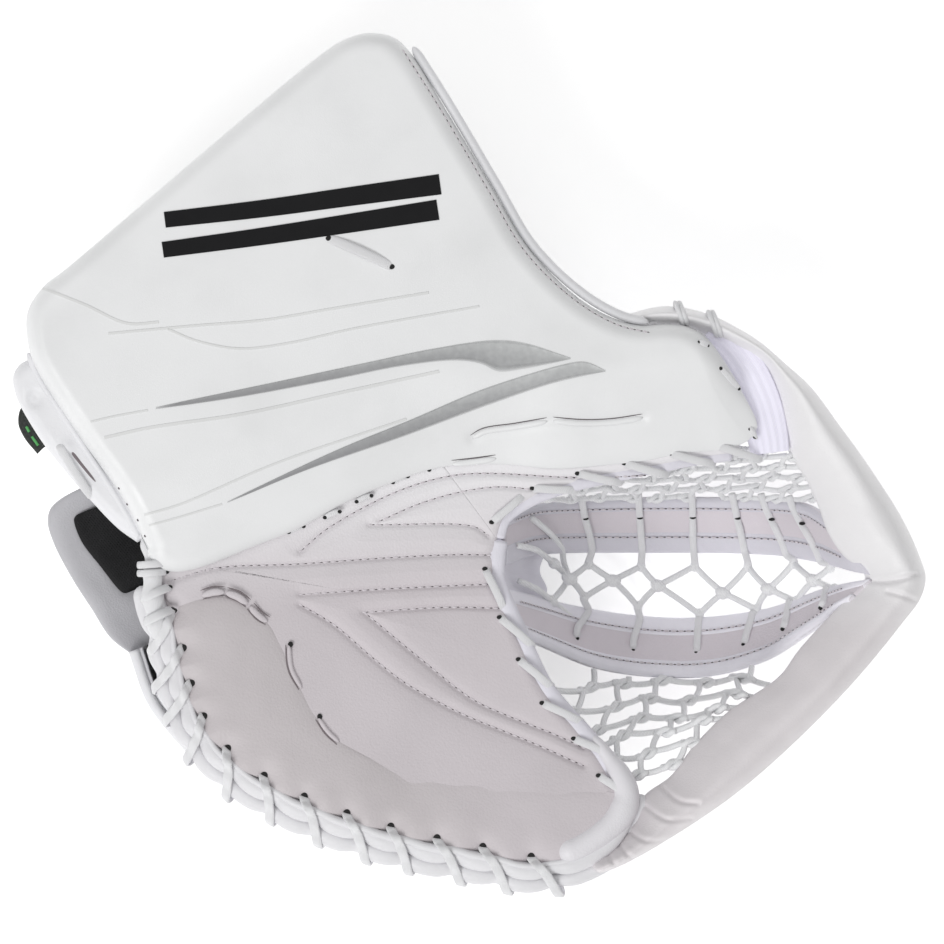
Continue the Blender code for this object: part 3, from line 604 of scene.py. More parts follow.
def piece(name, shape, finish, rides, stands_for=(), sharp=None, uv=None):
    """A finished object from a shape in drawing millimetres.

    rides is the body the piece is attached to; given (body, body, start, end), the piece is attached to
    no body and left in place.
    """
    points, faces = shape
    mesh = bpy.data.meshes.new(name)
    placed = (np.asarray(points) + SHIFT) * MM
    mesh.from_pydata(placed.tolist(), [], faces)
    faces_out(mesh)
    mesh.shade_smooth()
    if sharp:
        mesh.set_sharp_from_angle(angle=np.radians(sharp))
    if uv is not None:
        layer = mesh.uv_layers.new(name="Strand")
        corner = np.empty(len(mesh.loops), np.int32)
        mesh.loops.foreach_get("vertex_index", corner)
        layer.data.foreach_set("uv", np.asarray(uv, np.float32)[corner].ravel())
    mesh.materials.append(MATERIALS[finish])
    thing = bpy.data.objects.new(name, mesh)
    bpy.context.scene.collection.objects.link(thing)
    if isinstance(rides, str):
        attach(thing, rides)
    else:
        start, end = ((np.array(p, float) + SHIFT) * MM for p in rides[2:])
        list(rides[:2])
        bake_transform(thing)
    if stands_for:
        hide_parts(*stands_for)
    return thing


# -------------------------------------------------------------------- studio
CAMERA_LENS = 199.3
CAMERA_PLACE = (0.0012, -0.0012, 2.39)
FLOOR_REACH = 40.0
FLOOR_LEVEL = -0.0006
SKY_STRENGTH = 0.43
LAMPS = (   # name, place in metres, size in metres, power in watts
    ("Key_Light", (-0.8, -1.25, 1.75), 1.1, 23.0),
    ("Top_Light", (-0.3, 0.9, 2.2), 1.6, 8.0),
)


def make_studio():
    """The camera over the palm, a pale floor and soft light."""
    scene = bpy.context.scene
    camera = bpy.data.objects.new("Camera", bpy.data.cameras.new("Camera"))
    camera.data.lens = CAMERA_LENS
    camera.location = CAMERA_PLACE
    scene.collection.objects.link(camera)
    scene.camera = camera
    scene.view_settings.view_transform = "Standard"
    floor_mesh = bpy.data.meshes.new("Floor")
    signs = ((-1, -1), (1, -1), (1, 1), (-1, 1))
    corners = [(FLOOR_REACH * x, FLOOR_REACH * y, 0) for x, y in signs]
    floor_mesh.from_pydata(corners, [], [(0, 1, 2, 3)])
    floor_mesh.materials.append(MATERIALS["floor"])
    floor = bpy.data.objects.new("Floor", floor_mesh)
    floor.location.z = FLOOR_LEVEL
    scene.collection.objects.link(floor)
    world = bpy.data.worlds.new("Studio")
    scene.world = world
    world.use_nodes = True
    sky = world.node_tree.nodes["Background"]
    sky.inputs["Color"].default_value = (1, 1, 1, 1)
    sky.inputs["Strength"].default_value = SKY_STRENGTH
    for name, place, size, power in LAMPS:
        lamp = bpy.data.lights.new(name, "AREA")
        lamp.size = size
        lamp.energy = power
        light = bpy.data.objects.new(name, lamp)
        light.location = place
        light.rotation_euler = Vector(place).to_track_quat("Z", "Y").to_euler()
        scene.collection.objects.link(light)


# ---------------------------------------------------------------------- palm
LACE_HOLE_INSET = 2.6
LACE_HOLES = (   # near where the perimeter lace goes through the pad
    (-131.2, -65.6), (-127.6, -82.3), (-123.6, -97.5), (-118, -112.6), (-107, -126.3),
    (-91.1, -138.1), (-73.2, -147.5), (-54.6, -155.7), (-34.9, -161.3), (-14.6, -165),
    (6.2, -167.6), (27.3, -169),
)
# Name, how far out from the pad's edge, how far up from the palm face, radius.
ROLLS = (("upper", 3.6, -2.6, 4.1), ("outer", 9.6, -8.0, 4.0), ("lower", 6.0, -15.2, 3.7))
SEAM_LINES = {name: curve(points, step=1.5) for name, points in STITCH_LINES.items()}
PALM_SIDE = curve(PALM_EDGE, 400)
POCKET_LINE = curve(POCKET_EDGE[::-1], 120)
THUMB_LINE = curve(THUMB_EDGE, 110)
PAD_LINE = curve(PAD_INNER, 260)


def moved_sideways(line, distance_out):
    """A 2-D line moved to its right-hand side."""
    return line + sideways(line) * np.reshape(distance_out, (-1, 1))


def drawn_in(points):
    """How far the pad's edge lies inside the palm's side, in mm."""
    x, y = points.T
    inward = 2.6 + 1.6 * smooth_step(x, -115, -60)
    return inward * smooth_step(-y, 56, 76) * (1 - smooth_step(x, -10, 34))


def lace_stations():
    """Where the perimeter lace crosses the pad's edge: its place along the edge, and the hole."""
    inner = moved_sideways(EDGE_LINE, -LACE_HOLE_INSET)
    gaps = np.linalg.norm(inner[None] - np.array(LACE_HOLES)[:, None], axis=2)
    index = np.argmin(gaps, axis=1)
    return index, inner[index]


# The pad's edge, and where along it the rolls stand wider: 1 under the palm, 0 at both ends.
EDGE_LINE = moved_sideways(PALM_SIDE, -drawn_in(PALM_SIDE))
EDGE_SPREAD = smooth_step(EDGE_LINE[:, 0], -110, -55) * (1 - smooth_step(EDGE_LINE[:, 0], -10, 34))
STATIONS, HOLES = lace_stations()


def pinch(ahead=0.0):
    """How tightly the edge is drawn in along the palm's edge: 1 at each lace."""
    index = np.arange(len(EDGE_LINE))
    step = length_of(EDGE_LINE) / (len(EDGE_LINE) - 1)
    gap = np.min(np.abs(index[:, None] - STATIONS[None] - ahead / step), axis=1)
    return np.exp(-((gap * step / 5.0) ** 2))


SCALLOPED = moved_sideways(EDGE_LINE, 0.2 - 1.0 * pinch())


def near_holes(points, radius):
    """1 at a lace hole and 0 well away from every one."""
    gap = np.min(np.linalg.norm(points[:, None] - HOLES[None], axis=2), axis=1)
    return np.exp(-((gap / radius) ** 2))


def palm_height(points):
    """The palm leather's surface: soft panels between sewn lines."""
    high = face_at(points) - 0.2
    near = np.full(len(points), 1e9)
    for line in SEAM_LINES.values():
        near = np.minimum(near, distance(points, line))
    high += 1.7 * (1 - np.exp(-near / 5.5)) - 0.9 * np.exp(-((near / 1.1) ** 2))
    high += 0.5 * wobble(points, 34.0, 3.0)
    return high - 3.0 * near_holes(points, 5.0)


def make_palm():
    """Palm leather on both sides of the break, with its sewn lines."""
    wrist = [(-138, -50)] + [(x, y + 4) for x, y in CUFF_LOWER[1:9]]
    rolls_side = [tuple(spot) for spot in EDGE_LINE[::-8]]
    thumb_side = [(x, y + 4) for x, y in CUFF_LOWER[9:]]
    sides = (
        ("Palm_Leather", rolls_side + wrist, POCKET_EDGE[::-1], 430, ACROSS_FOLD,
         ("palm_skin", "palm_skin_thumb")),
        ("Thumb_Band", [wrist[-1]] + thumb_side, THUMB_EDGE, 140, "thumb_side", ()),
    )
    edges = (EDGE_LINE, POCKET_LINE, THUMB_LINE)
    for name, outer, inner, columns, rides, nodes in sides:
        outer, inner = curve(outer, columns), curve(inner, columns)
        grid = inner[None] + (outer - inner)[None] * spread(150, 0.35)[:, None, None]
        points = grid.reshape(-1, 2)
        edge = np.min([distance(points, line) for line in edges], axis=0)
        high = palm_height(points) - 3.2 * rounding(edge, 5.0)
        shape = backed(raised(grid, high), face_at(grid) - 3.6, 0.3)
        piece(name, shape, "palm", rides, nodes)
    sew("Palm_Stitching", [lay(line, palm_height) for line in SEAM_LINES.values()],
        "thread", ACROSS_FOLD)


def lay(line, height, lift=0.0):
    """A 2-D line laid on a surface of the given height."""
    return np.column_stack([line, height(line) + lift])


def sew(name, lines, finish, rides, length=2.3, gap=1.1, width=0.55):
    """A row of thread stitches along each 3-D line, and a dark blob between them painted as a needle
    hole's shade.
    """
    threads, pits = [], []
    for line in lines:
        count = max(2, int(length_of(line) / (length + gap)))
        spots = curve(line[:: max(1, len(line) // 40)], count)
        along = unit(np.gradient(spots, axis=0))
        side = unit(np.cross(along, (0, 0, 1)))
        lift = np.cross(side, along)
        for spot, a, s, u in zip(spots, along, side, lift):
            axes = np.array([s, u, a])
            threads.append(blob(spot + u * 0.15, (width, width * 0.7, length / 2), 5, 6, axes))
            pit = spot + a * (length + gap) / 2 + u * 0.05
            pits.append(blob(pit, (0.30, 0.25, 0.62), 4, 6, axes))
    piece(name, joined(threads), finish, rides)
    piece(name + "_Holes", joined(pits), "pit", rides)


def pad_height(points):
    """The finger pad: crowned, drawn in at its inner crease and at each lace hole."""
    roll_in = rounding(distance(points, PAD_LINE), 30.0)
    roll_out = rounding(distance(points, SCALLOPED), 9.0)
    fullness = 2.3 + 1.2 * smooth_step(-points[:, 0], -10, 70)
    high = face_at(points) + 0.6
    high += fullness * (1 - roll_in) - 3.0 * roll_out
    high += 0.7 * wobble(points, 30.0, 9.0) + 0.25 * wobble(points, 11.0, 4.0)
    high -= 2.0 * near_holes(points, 6.5)
    return high


def make_finger_pad():
    """The crescent pad over the fingers, with black blobs painted as the shade in the lace holes."""
    grid = ruled(SCALLOPED, PAD_LINE, 520, 110, (0.0, 0.75))
    points = grid.reshape(-1, 2)
    top = raised(grid, pad_height(points) - 2.0 * near_holes(points, 1.7))
    pad = piece("Finger_Pad", backed(top, face_at(grid) - 0.4, 0.4), "pad", "finger_side",
                ("finger_pad",))
    holes = []
    out = sideways(EDGE_LINE)[STATIONS]
    for spot, way in zip(HOLES, out):
        centre = (*spot, float(pad_height(spot[None])[0]) - 1.0)
        side = np.array([-way[1], way[0], 0])
        axes = np.array([side, [way[0], way[1], -0.35], [0, 0, 1]])
        holes.append(blob(centre, (1.9, 2.5, 1.1), 7, 16, unit(axes)))
    piece("Perimeter_Lace_Holes", joined(holes), "dark", "finger_side")
    make_tucks()


WIDE_TUCKS = (
    ((-118.5, -58.2), (-113, -56.6), (-108.3, -56.6)),
    ((-107.5, -56.8), (-102, -58.8), (-97.6, -62)),
    ((-96.6, -63.2), (-92.5, -67.6), (-89, -69.8)),
)
NARROW_TUCKS = (
    ((-79.2, -80.5), (-78.0, -91), (-73.6, -99.5)),
    ((-66.3, -112.4), (-62, -118.5), (-57.2, -123)),
)


def leather_height(points):
    """The upper of the palm leather and the finger pad."""
    return np.maximum(palm_height(points), pad_height(points))


def make_tucks():
    """Short folds where the pad is tacked down along its crease: ridge, a dark strand painted as the
    crease's shadow, and a black blob painted as the hole's shade.
    """
    tucks, folds, holes = [], [], []
    for number, points in enumerate(WIDE_TUCKS + NARROW_TUCKS):
        path = curve(points, 24)
        narrow = number >= len(WIDE_TUCKS)
        wide, sides = (2.2, (2.2,)) if narrow else (3.3, (-1.6, 2.4))
        line = np.column_stack([moved_sideways(path, 0.8), leather_height(path) + 0.4])
        tucks.append(swept(line, rounded_ends(line, wide, 4), rounded_ends(line, 1.9, 4), 12))
        for side in sides:
            fold = lay(moved_sideways(path, side), leather_height, 0.15)
            folds.append(swept(fold, rounded_ends(fold, 0.85, 9), 0.6, 8))
        if narrow:
            level = float(leather_height(path[:1])[0])
            holes.append(blob((*path[0], level + 0.3), (1.2, 1.4, 0.6), 6, 12))
    piece("Pad_Tucks", joined(tucks), "palm", "finger_side")
    # Painted shadow and shade: dark strands along the tucks and black blobs in their holes.
    piece("Pad_Tuck_Fold_Shadows", joined(folds), "fold", "finger_side")
    piece("Pad_Tuck_Holes", joined(holes), "dark", "finger_side")


def make_perimeter():
    """Three stacked rolls round the fingers, the piping above them, and their lace."""
    tight = pinch(9.0)
    for number, (name, out, down, radius) in enumerate(ROLLS, 1):
        path = moved_sideways(EDGE_LINE, out * (1 + 0.10 * EDGE_SPREAD) - 1.5 * tight)
        path = on_face(path, down - 0.6 * EDGE_SPREAD)
        path[:, 2] += 0.4 * wobble(EDGE_LINE, 16.0, number)
        size = 2 * radius * (1 - 0.17 * tight) + 0.35 * wobble(EDGE_LINE, 9.0, number + 5.0)
        size += 1.0 * EDGE_SPREAD
        size = rounded_ends(path, size, 5.0)
        # Painted shade: the lowest roll takes the darker strap leather, for the shade on the rolls'
        # under side.
        finish = "strap" if name == "lower" else "rolls"
        roll = piece(f"Perimeter_Roll_{name}", swept(path, size, sides=22), finish,
                     "finger_side", (f"perimeter_roll_{number}",))
    edge = on_face(moved_sideways(EDGE_LINE, 1.3 - 0.7 * tight + 0.5 * EDGE_SPREAD), 0.8)
    edge[:, 2] -= 0.4 * tight
    size = 2.5 + 1.3 * EDGE_SPREAD
    piece("Palm_Edge_Piping", swept(edge, rounded_ends(edge, size, 3.0), sides=14), "rolls",
          "finger_side")
    make_perimeter_lace()


LACE_WIDTH = 4.4
LACE_THICKNESS = 1.6
LACE_SLANT = 13.0   # how far a turn runs along the edge while it crosses the rolls
OVER_PAD = ((-2.4, -2.4, 0.0), (-1.9, 0.6, 0.03), (-0.8, 1.9, 0.12), (1.2, 2.4, 0.31))
ROUND_ROLLS = (   # outwards, up from the palm face, share of the slant
    (3.4, 2.0, 0.5), (6.4, 1.1, 0.69), (9.6, -2.4, 0.87), (13.0, -4.6, 1.04),
    (14.2, -8.6, 1.12), (12.4, -14.2, 1.15), (8.6, -19.2, 1.0), (3.0, -19.6, 0.8),
    (-2.0, -15.0, 0.5),
)


def make_perimeter_lace():
    """The flat lace's turns, from the pad's holes over the rolls and back under them."""
    laces = []
    across = sideways(EDGE_LINE)
    along = unit(np.gradient(EDGE_LINE, axis=0))
    for number, i in enumerate(STATIONS):
        slant = LACE_SLANT + 1.2 * np.sin(number * 2.1)
        wider = 1 + 0.12 * EDGE_SPREAD[i]
        path = [
            (*(EDGE_LINE[i] + across[i] * out * wider + along[i] * slant * turn),
             face(*EDGE_LINE[i]) + up)
            for out, up, turn in ROUND_ROLLS
        ]
        over = []
        for out, lift, turn in OVER_PAD:
            spot = EDGE_LINE[i] + across[i] * out + along[i] * slant * turn
            over.append((*spot, float(pad_height(spot[None])[0]) + lift))
        path = curve(over + path, 64)
        flat = np.cross(unit(np.gradient(path, axis=0)), (*along[i], 0.0))
        laces.append(swept(path, LACE_WIDTH, LACE_THICKNESS, 14, up=unit(flat), square=0.7))
    piece("Perimeter_Lace", joined(laces), "lace", "finger_side", ("perimeter_lace",))


# ---------------------------------------------------------------------- cuff
CUFF_EDGE_ROUND = 9.0
CUFF_OUTLINE = np.vstack([curve(CUFF_UPPER, 420), curve(CUFF_LOWER, 300)[::-1]])
CUFF_OUTLINE = np.vstack([CUFF_OUTLINE, CUFF_OUTLINE[:1]])
# The cuff's lower edge run straight on past its corner, so that no crease starts there.
CUFF_LOWER_LINE = curve([(-200, -78), (-160, -62.5)] + CUFF_LOWER[3:], 300)
BREAK_TUCKS = (
    ((1, 10.5), (6, 13.4), (20, 15.6), (34, 18)),
    ((36.5, 18.2), (50, 17.2), (62, 17.6), (76, 19.6)),
    ((-8, -0.8), (2, 0.3), (11.5, 1.6)),
)
BREAK_CREASE = curve(BREAK_TUCKS[0] + BREAK_TUCKS[1], 60)
FLASHES = (
    ([(-137.4, 24), (-85.8, 34.8), (-44.5, 43.6), (-17.2, 49.3), (10.5, 53.2), (24.2, 51.9),
      (44, 45.5)],
     [(-137.4, 23), (-99.5, 28.6), (-58.3, 36.3), (-30.8, 41.8), (-6, 44.4), (4.8, 42.9),
      (12.5, 39.6), (24.2, 40.9), (37.8, 43.6), (44, 45.1)]),
    ([(-106.5, -17.4), (-58.3, 5.3), (-26.8, 18.2), (7.7, 32.6), (47, 43.8), (52, 43.4),
      (59.3, 40)],
     [(-106.5, -18), (-72.2, -3.8), (-30.8, 10.6), (10.5, 25.8), (37.8, 34.8), (59.3, 39.6)]),
)
GREY_LINES = (
    ([(-187, 76), (-168, 68.5), (-150, 60.5), (-136, 61)], 1.1),
    ([(-158, 56), (-120, 59.5), (-90, 62), (-60, 67), (-18, 74)], 1.0),
    ([(-132, 58), (-120, 53), (-101, 49.5), (-79, 52), (-52, 58), (4, 68)], 0.9),
    ([(-166, 17.5), (-155, 20), (-141, 22.6)], 0.8),
    ([(-160, 10.5), (-140.8, 14.8), (-99.5, 21), (-58.3, 29.9), (-13.6, 39.6)], 1.3),
    ([(-143, -23.4), (-127, -18.6), (-85.8, -0.9), (-28, 18.9)], 0.9),
    ([(-141, -28), (-128, -24.4), (-109, -18.6)], 0.8),
)
BARS = (
    [(-134, 92.5), (-90, 98.5), (-50, 104.5), (-14, 110)],
    [(-133, 105.5), (-90, 110.5), (-50, 116), (-13, 121)],
)


def cuff_height(points):
    """The one-piece cuff's face: nearly flat, rounded over at its edge."""
    edge = distance(points, CUFF_OUTLINE)
    low = distance(points, CUFF_LOWER_LINE)
    thumb_side = smooth_step(points[:, 0], -60, 10)
    thin = 9.5 + 4.3 * thumb_side
    body = CUFF_TOP - thin * (1 - smooth_step(low, -6, 46))
    sharper = 1 - smooth_step(low, 2, 16)
    fall = rounding(edge, CUFF_EDGE_ROUND - 4.0 * sharper)
    rest = 3.0 - 1.6 * thumb_side * sharper
    high = face_at(points) + body - (body - rest) * fall
    high += 0.9 * smooth_step(low, 0, 70) + 0.5 * wobble(points, 60.0, 21.0)
    crease = distance(points, BREAK_CREASE)
    high -= 0.9 * np.exp(-((crease / 2.2) ** 2))
    return high


def make_cuff():
    """The cuff and thumb board, moulded and wrapped as one piece."""
    grid = ruled(CUFF_LOWER, CUFF_UPPER, 330, 150, (0.75, 0.8))
    top = raised(grid, cuff_height(grid.reshape(-1, 2)))
    cuff = piece("Cuff_Board", backed(top, face_at(grid) + 1.0, 0.6), "board", "thumb_side",
                 ("cuff_face", "cuff_foam", "cuff_stiffener"))
    make_prints()
    make_break_tucks()
    make_cuff_edge()
    make_cuff_laces()


def printed(name, shapes, finish):
    """Thin ink on the cuff's face, between an upper and a lower line for each shape."""
    parts, marks = [], []
    for upper, lower in shapes:
        grid = ruled(lower, upper, 120, 12, (0.2, 0.0))
        high = cuff_height(grid.reshape(-1, 2))
        parts.append(slab(raised(grid, high + 0.3), raised(grid, high - 0.3)))
        u, v = np.meshgrid(np.linspace(0, 1, 120), np.linspace(0, 1, 12))
        layer = np.stack([u, v], -1).reshape(-1, 2)
        marks.append(np.vstack([layer, layer]))
    piece(name, joined(parts), finish, "thumb_side", uv=np.vstack(marks), sharp=40)


def make_prints():
    """Silver flashes, thin grey lines and two plain black bars."""
    printed("Silver_Flashes", FLASHES, "print_silver")
    lines = []
    for points, width in GREY_LINES:
        line = curve(points, 60)
        lines.append((moved_sideways(line, -width / 2), moved_sideways(line, width / 2)))
    printed("Grey_Lines", lines, "print_grey")
    bars = []
    for points in BARS:
        line = curve(points, 60)
        half = np.linspace(3.4, 4.4, 60)
        bars.append((moved_sideways(line, -half), moved_sideways(line, half)))
    printed("Black_Bars", bars, "print_black")


def make_cuff_edge():
    """The piping along the cuff's inner edge, and the row of stitches beside it."""
    edge = curve([(-26, 180), (-10, 155), (10, 121.5), (27, 93.5), (48.5, 73), (66, 63), (78, 60)],
                 260)
    outer = moved_sideways(edge, -1.4)
    path = on_face(outer, 7.0)
    piece("Cuff_Edge_Piping", swept(path, rounded_ends(path, 4.2, 6.0), sides=14), "white",
          "thumb_side", ("cuff_edge_piping",))
    seam = moved_sideways(edge, 3.2)
    sew("Cuff_Edge_Stitching", [lay(seam, cuff_height)], "thread", "thumb_side",
        length=2.0, gap=1.0, width=0.5)


def make_break_tucks():
    """Short folds pinched into the board where the glove breaks, each with a dark strand beside it
    painted as its shadow.
    """
    ridges, folds = [], []
    for points in BREAK_TUCKS:
        path = curve(points, 30)
        line = lay(path, cuff_height, 0.1)
        ridges.append(swept(line, rounded_ends(line, 3.0, 5), rounded_ends(line, 1.8, 5), 12))
        fold = lay(moved_sideways(path, -1.5), cuff_height, 0.05)
        folds.append(swept(fold, rounded_ends(fold, 0.55, 8), 0.5, 8))
    piece("Break_Tucks", joined(ridges), "board", "thumb_side")
    piece("Break_Tuck_Fold_Shadows", joined(folds), "pit", "thumb_side")


def over_surface(name, ends, height, finish, rides, width=4.4, rise=2.2, body=(),
                 thick=1.9, hole=1.5):
    """A short lace across a surface from hole to hole, and two dark blobs painted as its holes' shade.
    """
    laces, holes = [], []
    for start, end in ends:
        line = curve([start, end], 40)
        share = np.linspace(0, 1, 40)
        lift = rise * np.sin(np.pi * share) ** 0.5 - 1.2
        path = np.column_stack([line, height(line) + lift])
        path[:, 1] += 0.5 * np.sin(share * np.pi)
        laces.append(swept(path, width, thick, 14, square=0.75))
        for spot in (line[0], line[-1]):
            high = float(height(spot[None])[0])
            holes.append(blob((*spot, high), (hole, hole * 0.85, 0.5), 5, 14))
    piece(name, joined(laces), finish, rides, body)
    piece(name + "_Holes", joined(holes), "dark", rides)


BOARD_PINHOLES = ((-154, -11.5), (-150.5, -18.5), (-145.8, -25.5), (-142.8, -32.5))
BREAK_LACE_SPOTS = (
    (-114, -44), (-97, -36), (-80, -31), (-64, -24.5), (-50, -17.5), (-34, -9), (-18, -3.5),
    (-2, -0.5), (14, 3),
)


def make_cuff_laces():
    """The lace through the cuff's face, and those that tie the board to the palm."""
    over_surface("Cuff_Face_Lace", [((-61.6, 97.7), (-34.3, 85.4))], cuff_height, "lace",
                 "thumb_side", body=("cuff_face_lace",))
    # Painted shade: dark dots for the shade in the board's pinholes.
    pins = lay(np.array(BOARD_PINHOLES), cuff_height)
    piece("Board_Pinholes", joined([blob(spot, (0.6, 0.6, 0.3), 5, 10) for spot in pins]), "pit",
          "thumb_side")
    ends = [((x, y), (x + 6.5, y + 2.6)) for x, y in BREAK_LACE_SPOTS]

    def at_break(points):
        return np.maximum(palm_height(points), cuff_height(points) - 3.0)

    over_surface("Break_Laces", ends, at_break, "lace", "thumb_side",
                 width=2.4, rise=1.2, thick=1.2, hole=1.0)


# ------------------------------------------------------------------ the wrist
SIDE_STRIP = [
    (-193.5, 45.5), (-197.8, 43.2), (-201, 38.3), (-200.2, 30), (-190.6, 11.8), (-178.6, -4),
    (-167.5, -16.8), (-155.5, -29.3), (-147, -35.5),
]
SIDE_STRIP_INNER = [
    (-186, 48), (-182, 37), (-177, 27), (-170, 16), (-162, 4), (-153.5, -9), (-144.5, -22),
    (-140, -32),
]


SIDE_STUD = np.array([-191.5, 27.5])
SIDE_PULL = np.array([-177.0, 7.0])   # where the lace lifts the strip


def make_side_strip():
    """The padded strip along the cuff's outer side, its sunk stud and its lace."""
    grid = ruled(SIDE_STRIP, SIDE_STRIP_INNER, 180, 48, (0.5, 0.85))
    flat = grid.reshape(-1, 2)
    fall = crown(grid, 6.0).reshape(-1)
    high = face_at(flat) + 5.2 - 7.5 * fall
    stud = np.linalg.norm(flat - SIDE_STUD, axis=1)
    high -= 2.6 * np.exp(-((stud / 3.4) ** 2)) - 1.2 * np.exp(-((stud / 1.6) ** 2))
    pull = np.linalg.norm(flat - SIDE_PULL, axis=1)
    high += 1.5 * np.exp(-((pull / 3.0) ** 2))
    high += 0.5 * wobble(flat, 12.0, 31.0)
    shape = backed(raised(grid, high), face_at(grid) - 9.0, 1.0)
    strip = piece("Side_Strip", shape, "white", "thumb_side",
                  ("cuff_side_strip",))
    path = curve([(-181, 8.5), (-179, 4.5), (-173.8, -4.2), (-168, -13.2), (-166.8, -15)], 60)
    line = on_face(path, 6.0)
    share = np.linspace(0, 1, len(line))
    line[:, 2] -= 3.5 * (1 - smooth_step(share, 0.0, 0.12)) + 4.5 * smooth_step(share, 0.85, 1.0)
    piece("Side_Lace", swept(line, 4.0, 3.0, 12, square=0.9), "lace", "thumb_side")
    # Painted shadow: a dark strand for the shade in the slit beside the lace.
    slit = on_face(curve([(-179, 9.6), (-174.2, 3.2), (-169, -3.4), (-164.8, -8.6)], 50), 5.0)
    piece("Side_Lace_Slit", swept(slit, rounded_ends(slit, 1.7, 12), 1.0, 8), "fold",
          "thumb_side")
    edge = curve([(-194, 48), (-190, 38), (-180, 22), (-169, 5), (-155, -17), (-146, -33)], 160)
    path = on_face(edge, 4.4)
    piece("Cuff_Outer_Piping", swept(path, rounded_ends(path, 3.0, 4.0), sides=10), "white",
          "thumb_side")
    make_corner_whip()


def make_corner_whip():
    """The lace that binds the board, the side strip and the palm together at the wrist."""
    share = np.linspace(0, 1, 90)
    core = curve([(-144, -33), (-141.5, -41), (-140, -50), (-140, -59), (-138.5, -69),
                  (-136, -79)], 90)
    path = on_face(core, 1.5)
    path[:, 2] -= 5.0 * smooth_step(share, 0.55, 1.0)
    size = 4.6 + 4.6 * smooth_step(share, 0.1, 0.5) + 0.9 * np.sin(share * 26 - 1.0)
    parts = [swept(path, size * rounded_ends(path, 1.0, 4.0), sides=20),
             swept(path + np.array([2.2, 0.8, 0.6]), size * 0.5, sides=14)]
    holes = []
    for start, end, width in (
        ((-146.5, -45.6), (-133.2, -44.4), 3.4), ((-146.5, -49.2), (-134.5, -48.4), 3.2),
        ((-145, -60.5), (-133, -55.2), 4.2), ((-143.5, -70.5), (-131.8, -65), 4.4),
    ):
        line = curve([start, end], 30)
        around = np.linspace(0, 1, 30)
        rise = face_at(line) + 1.8 + 5.2 * np.sin(np.pi * around ** 1.25) ** 0.8
        rise -= 6.0 * (1 - smooth_step(around, 0.0, 0.18))
        parts.append(swept(np.column_stack([line, rise]), width, 1.9, 12, square=0.8))
        holes.append(blob((end[0] + 0.6, end[1], face(*end) + 2.2), (1.4, 1.1, 0.8), 6, 12))
    piece("Wrist_Corner_Whip", joined(parts), "lace", "finger_side")
    # Painted shade: black blobs for the shade inside the lace holes.
    piece("Wrist_Corner_Holes", joined(holes), "dark", "finger_side")


def make_tab():
    """The black pull tab on the wrist strap's end, with a plain green mark."""
    outline_a = curve([(-193, 26.5), (-199, 24.5), (-200.6, 17.5), (-198, 11), (-192, 3.6)], 60)
    outline_b = curve([(-188, 25.5), (-185, 19), (-184.5, 13), (-186.5, 8.5), (-189.6, 6)], 60)
    grid = ruled(outline_a, outline_b, 60, 20, (0.3, 0.5))
    flat = grid.reshape(-1, 2)
    slope = (71.5 + (flat[:, 0] + 182) * 0.12).reshape(grid.shape[:2])
    round_off = crown(grid, 1.2) * 0.7
    top = np.dstack([grid, slope + 0.9 - round_off])
    bottom = np.dstack([grid, slope - 0.9 + round_off])
    piece("Strap_Pull_Tab", slab(top, bottom), "tab", "wrist_strap",
          ("strap_pull_tab",))
    marks = []
    for start, end in (((-194.4, 11.4), (-191.6, 7.4)), ((-196.9, 15.8), (-195.6, 13.4))):
        line = curve([start, end], 12)
        path = np.column_stack([line, 72.6 + (line[:, 0] + 182) * 0.12])
        marks.append(swept(path, 1.2, 0.5, 8, square=0.5))
    piece("Strap_Tab_Mark", joined(marks), "tab_mark", "wrist_strap")


FLAP_OUTER = [(-151, -86), (-160.5, -78.5), (-169, -65.5), (-178, -51.5), (-186, -36),
              (-188.6, -27), (-187.5, -21), (-183, -16.5), (-173, -11)]
FLAP_SEAM = [(-136.0, -82.0), (-103.0, -15.0)]


def make_flap():
    """The flap that closes the wrist: padded leather cover, rolled edge, black liner."""
    grid = ruled(FLAP_SEAM, FLAP_OUTER, 120, 70, (0.4, 0.5))
    share = spread(70, 0.5)[:, None]
    level = 46.0 + 10.0 * share ** 2 * np.ones((1, 120))
    flat = grid.reshape(-1, 2)
    swell = (1 - crown(grid, 7.0))
    ripple = 0.5 * wobble(flat, 14.0, 8.0).reshape(level.shape)
    top = np.dstack([grid, level + 3.6 * swell + ripple])
    bottom = np.dstack([grid, level - 1.6 - 2.4 * swell])
    cover = piece("Wrist_Flap", slab(top, bottom), "flap", "wrist_flap",
                  ("wrist_flap_cover",))
    inner = curve([(-141, -54.5), (-148, -56), (-153.5, -58.5), (-155.5, -58), (-165, -46.5),
                   (-173.6, -35), (-176.8, -25.6), (-176, -24), (-167, -20), (-155, -16)], 100)
    seam = curve([(-134, -54), (-104, -17)], 100)
    grid = ruled(seam, inner, 100, 50, (0.5, 0.8))
    share = spread(50, 0.8)[:, None]
    level = 50.2 + 7.0 * share ** 2 * np.ones((1, 100))
    top = np.dstack([grid, level + 2.6 * (1 - crown(grid, 4.0))])
    bottom = np.dstack([grid, level - 1.2])
    liner = piece("Wrist_Flap_Liner", slab(top, bottom), "liner", "wrist_flap",
                  ("wrist_flap_liner",))


# ----------------------------------------------------------------------- rim
WEBBING = [(104, 56), (112, 51), (120.5, 40), (127.5, 25), (131.6, 10), (132.4, 4)]
TIP_WRINKLES = (
    ((175, -52.5), (184, -52.4), (196, -49.6)), ((184, -57), (190, -58.6), (196, -61)),
)
END_WRINKLES = (
    ((66, -160), (76, -166), (88, -167)), ((63, -166), (70, -173), (76, -177)),
    ((76, -151), (86, -157), (97, -157)), ((60, -172), (64, -177), (66, -180)),
    ((84, -143), (92, -149), (100, -150)),
)


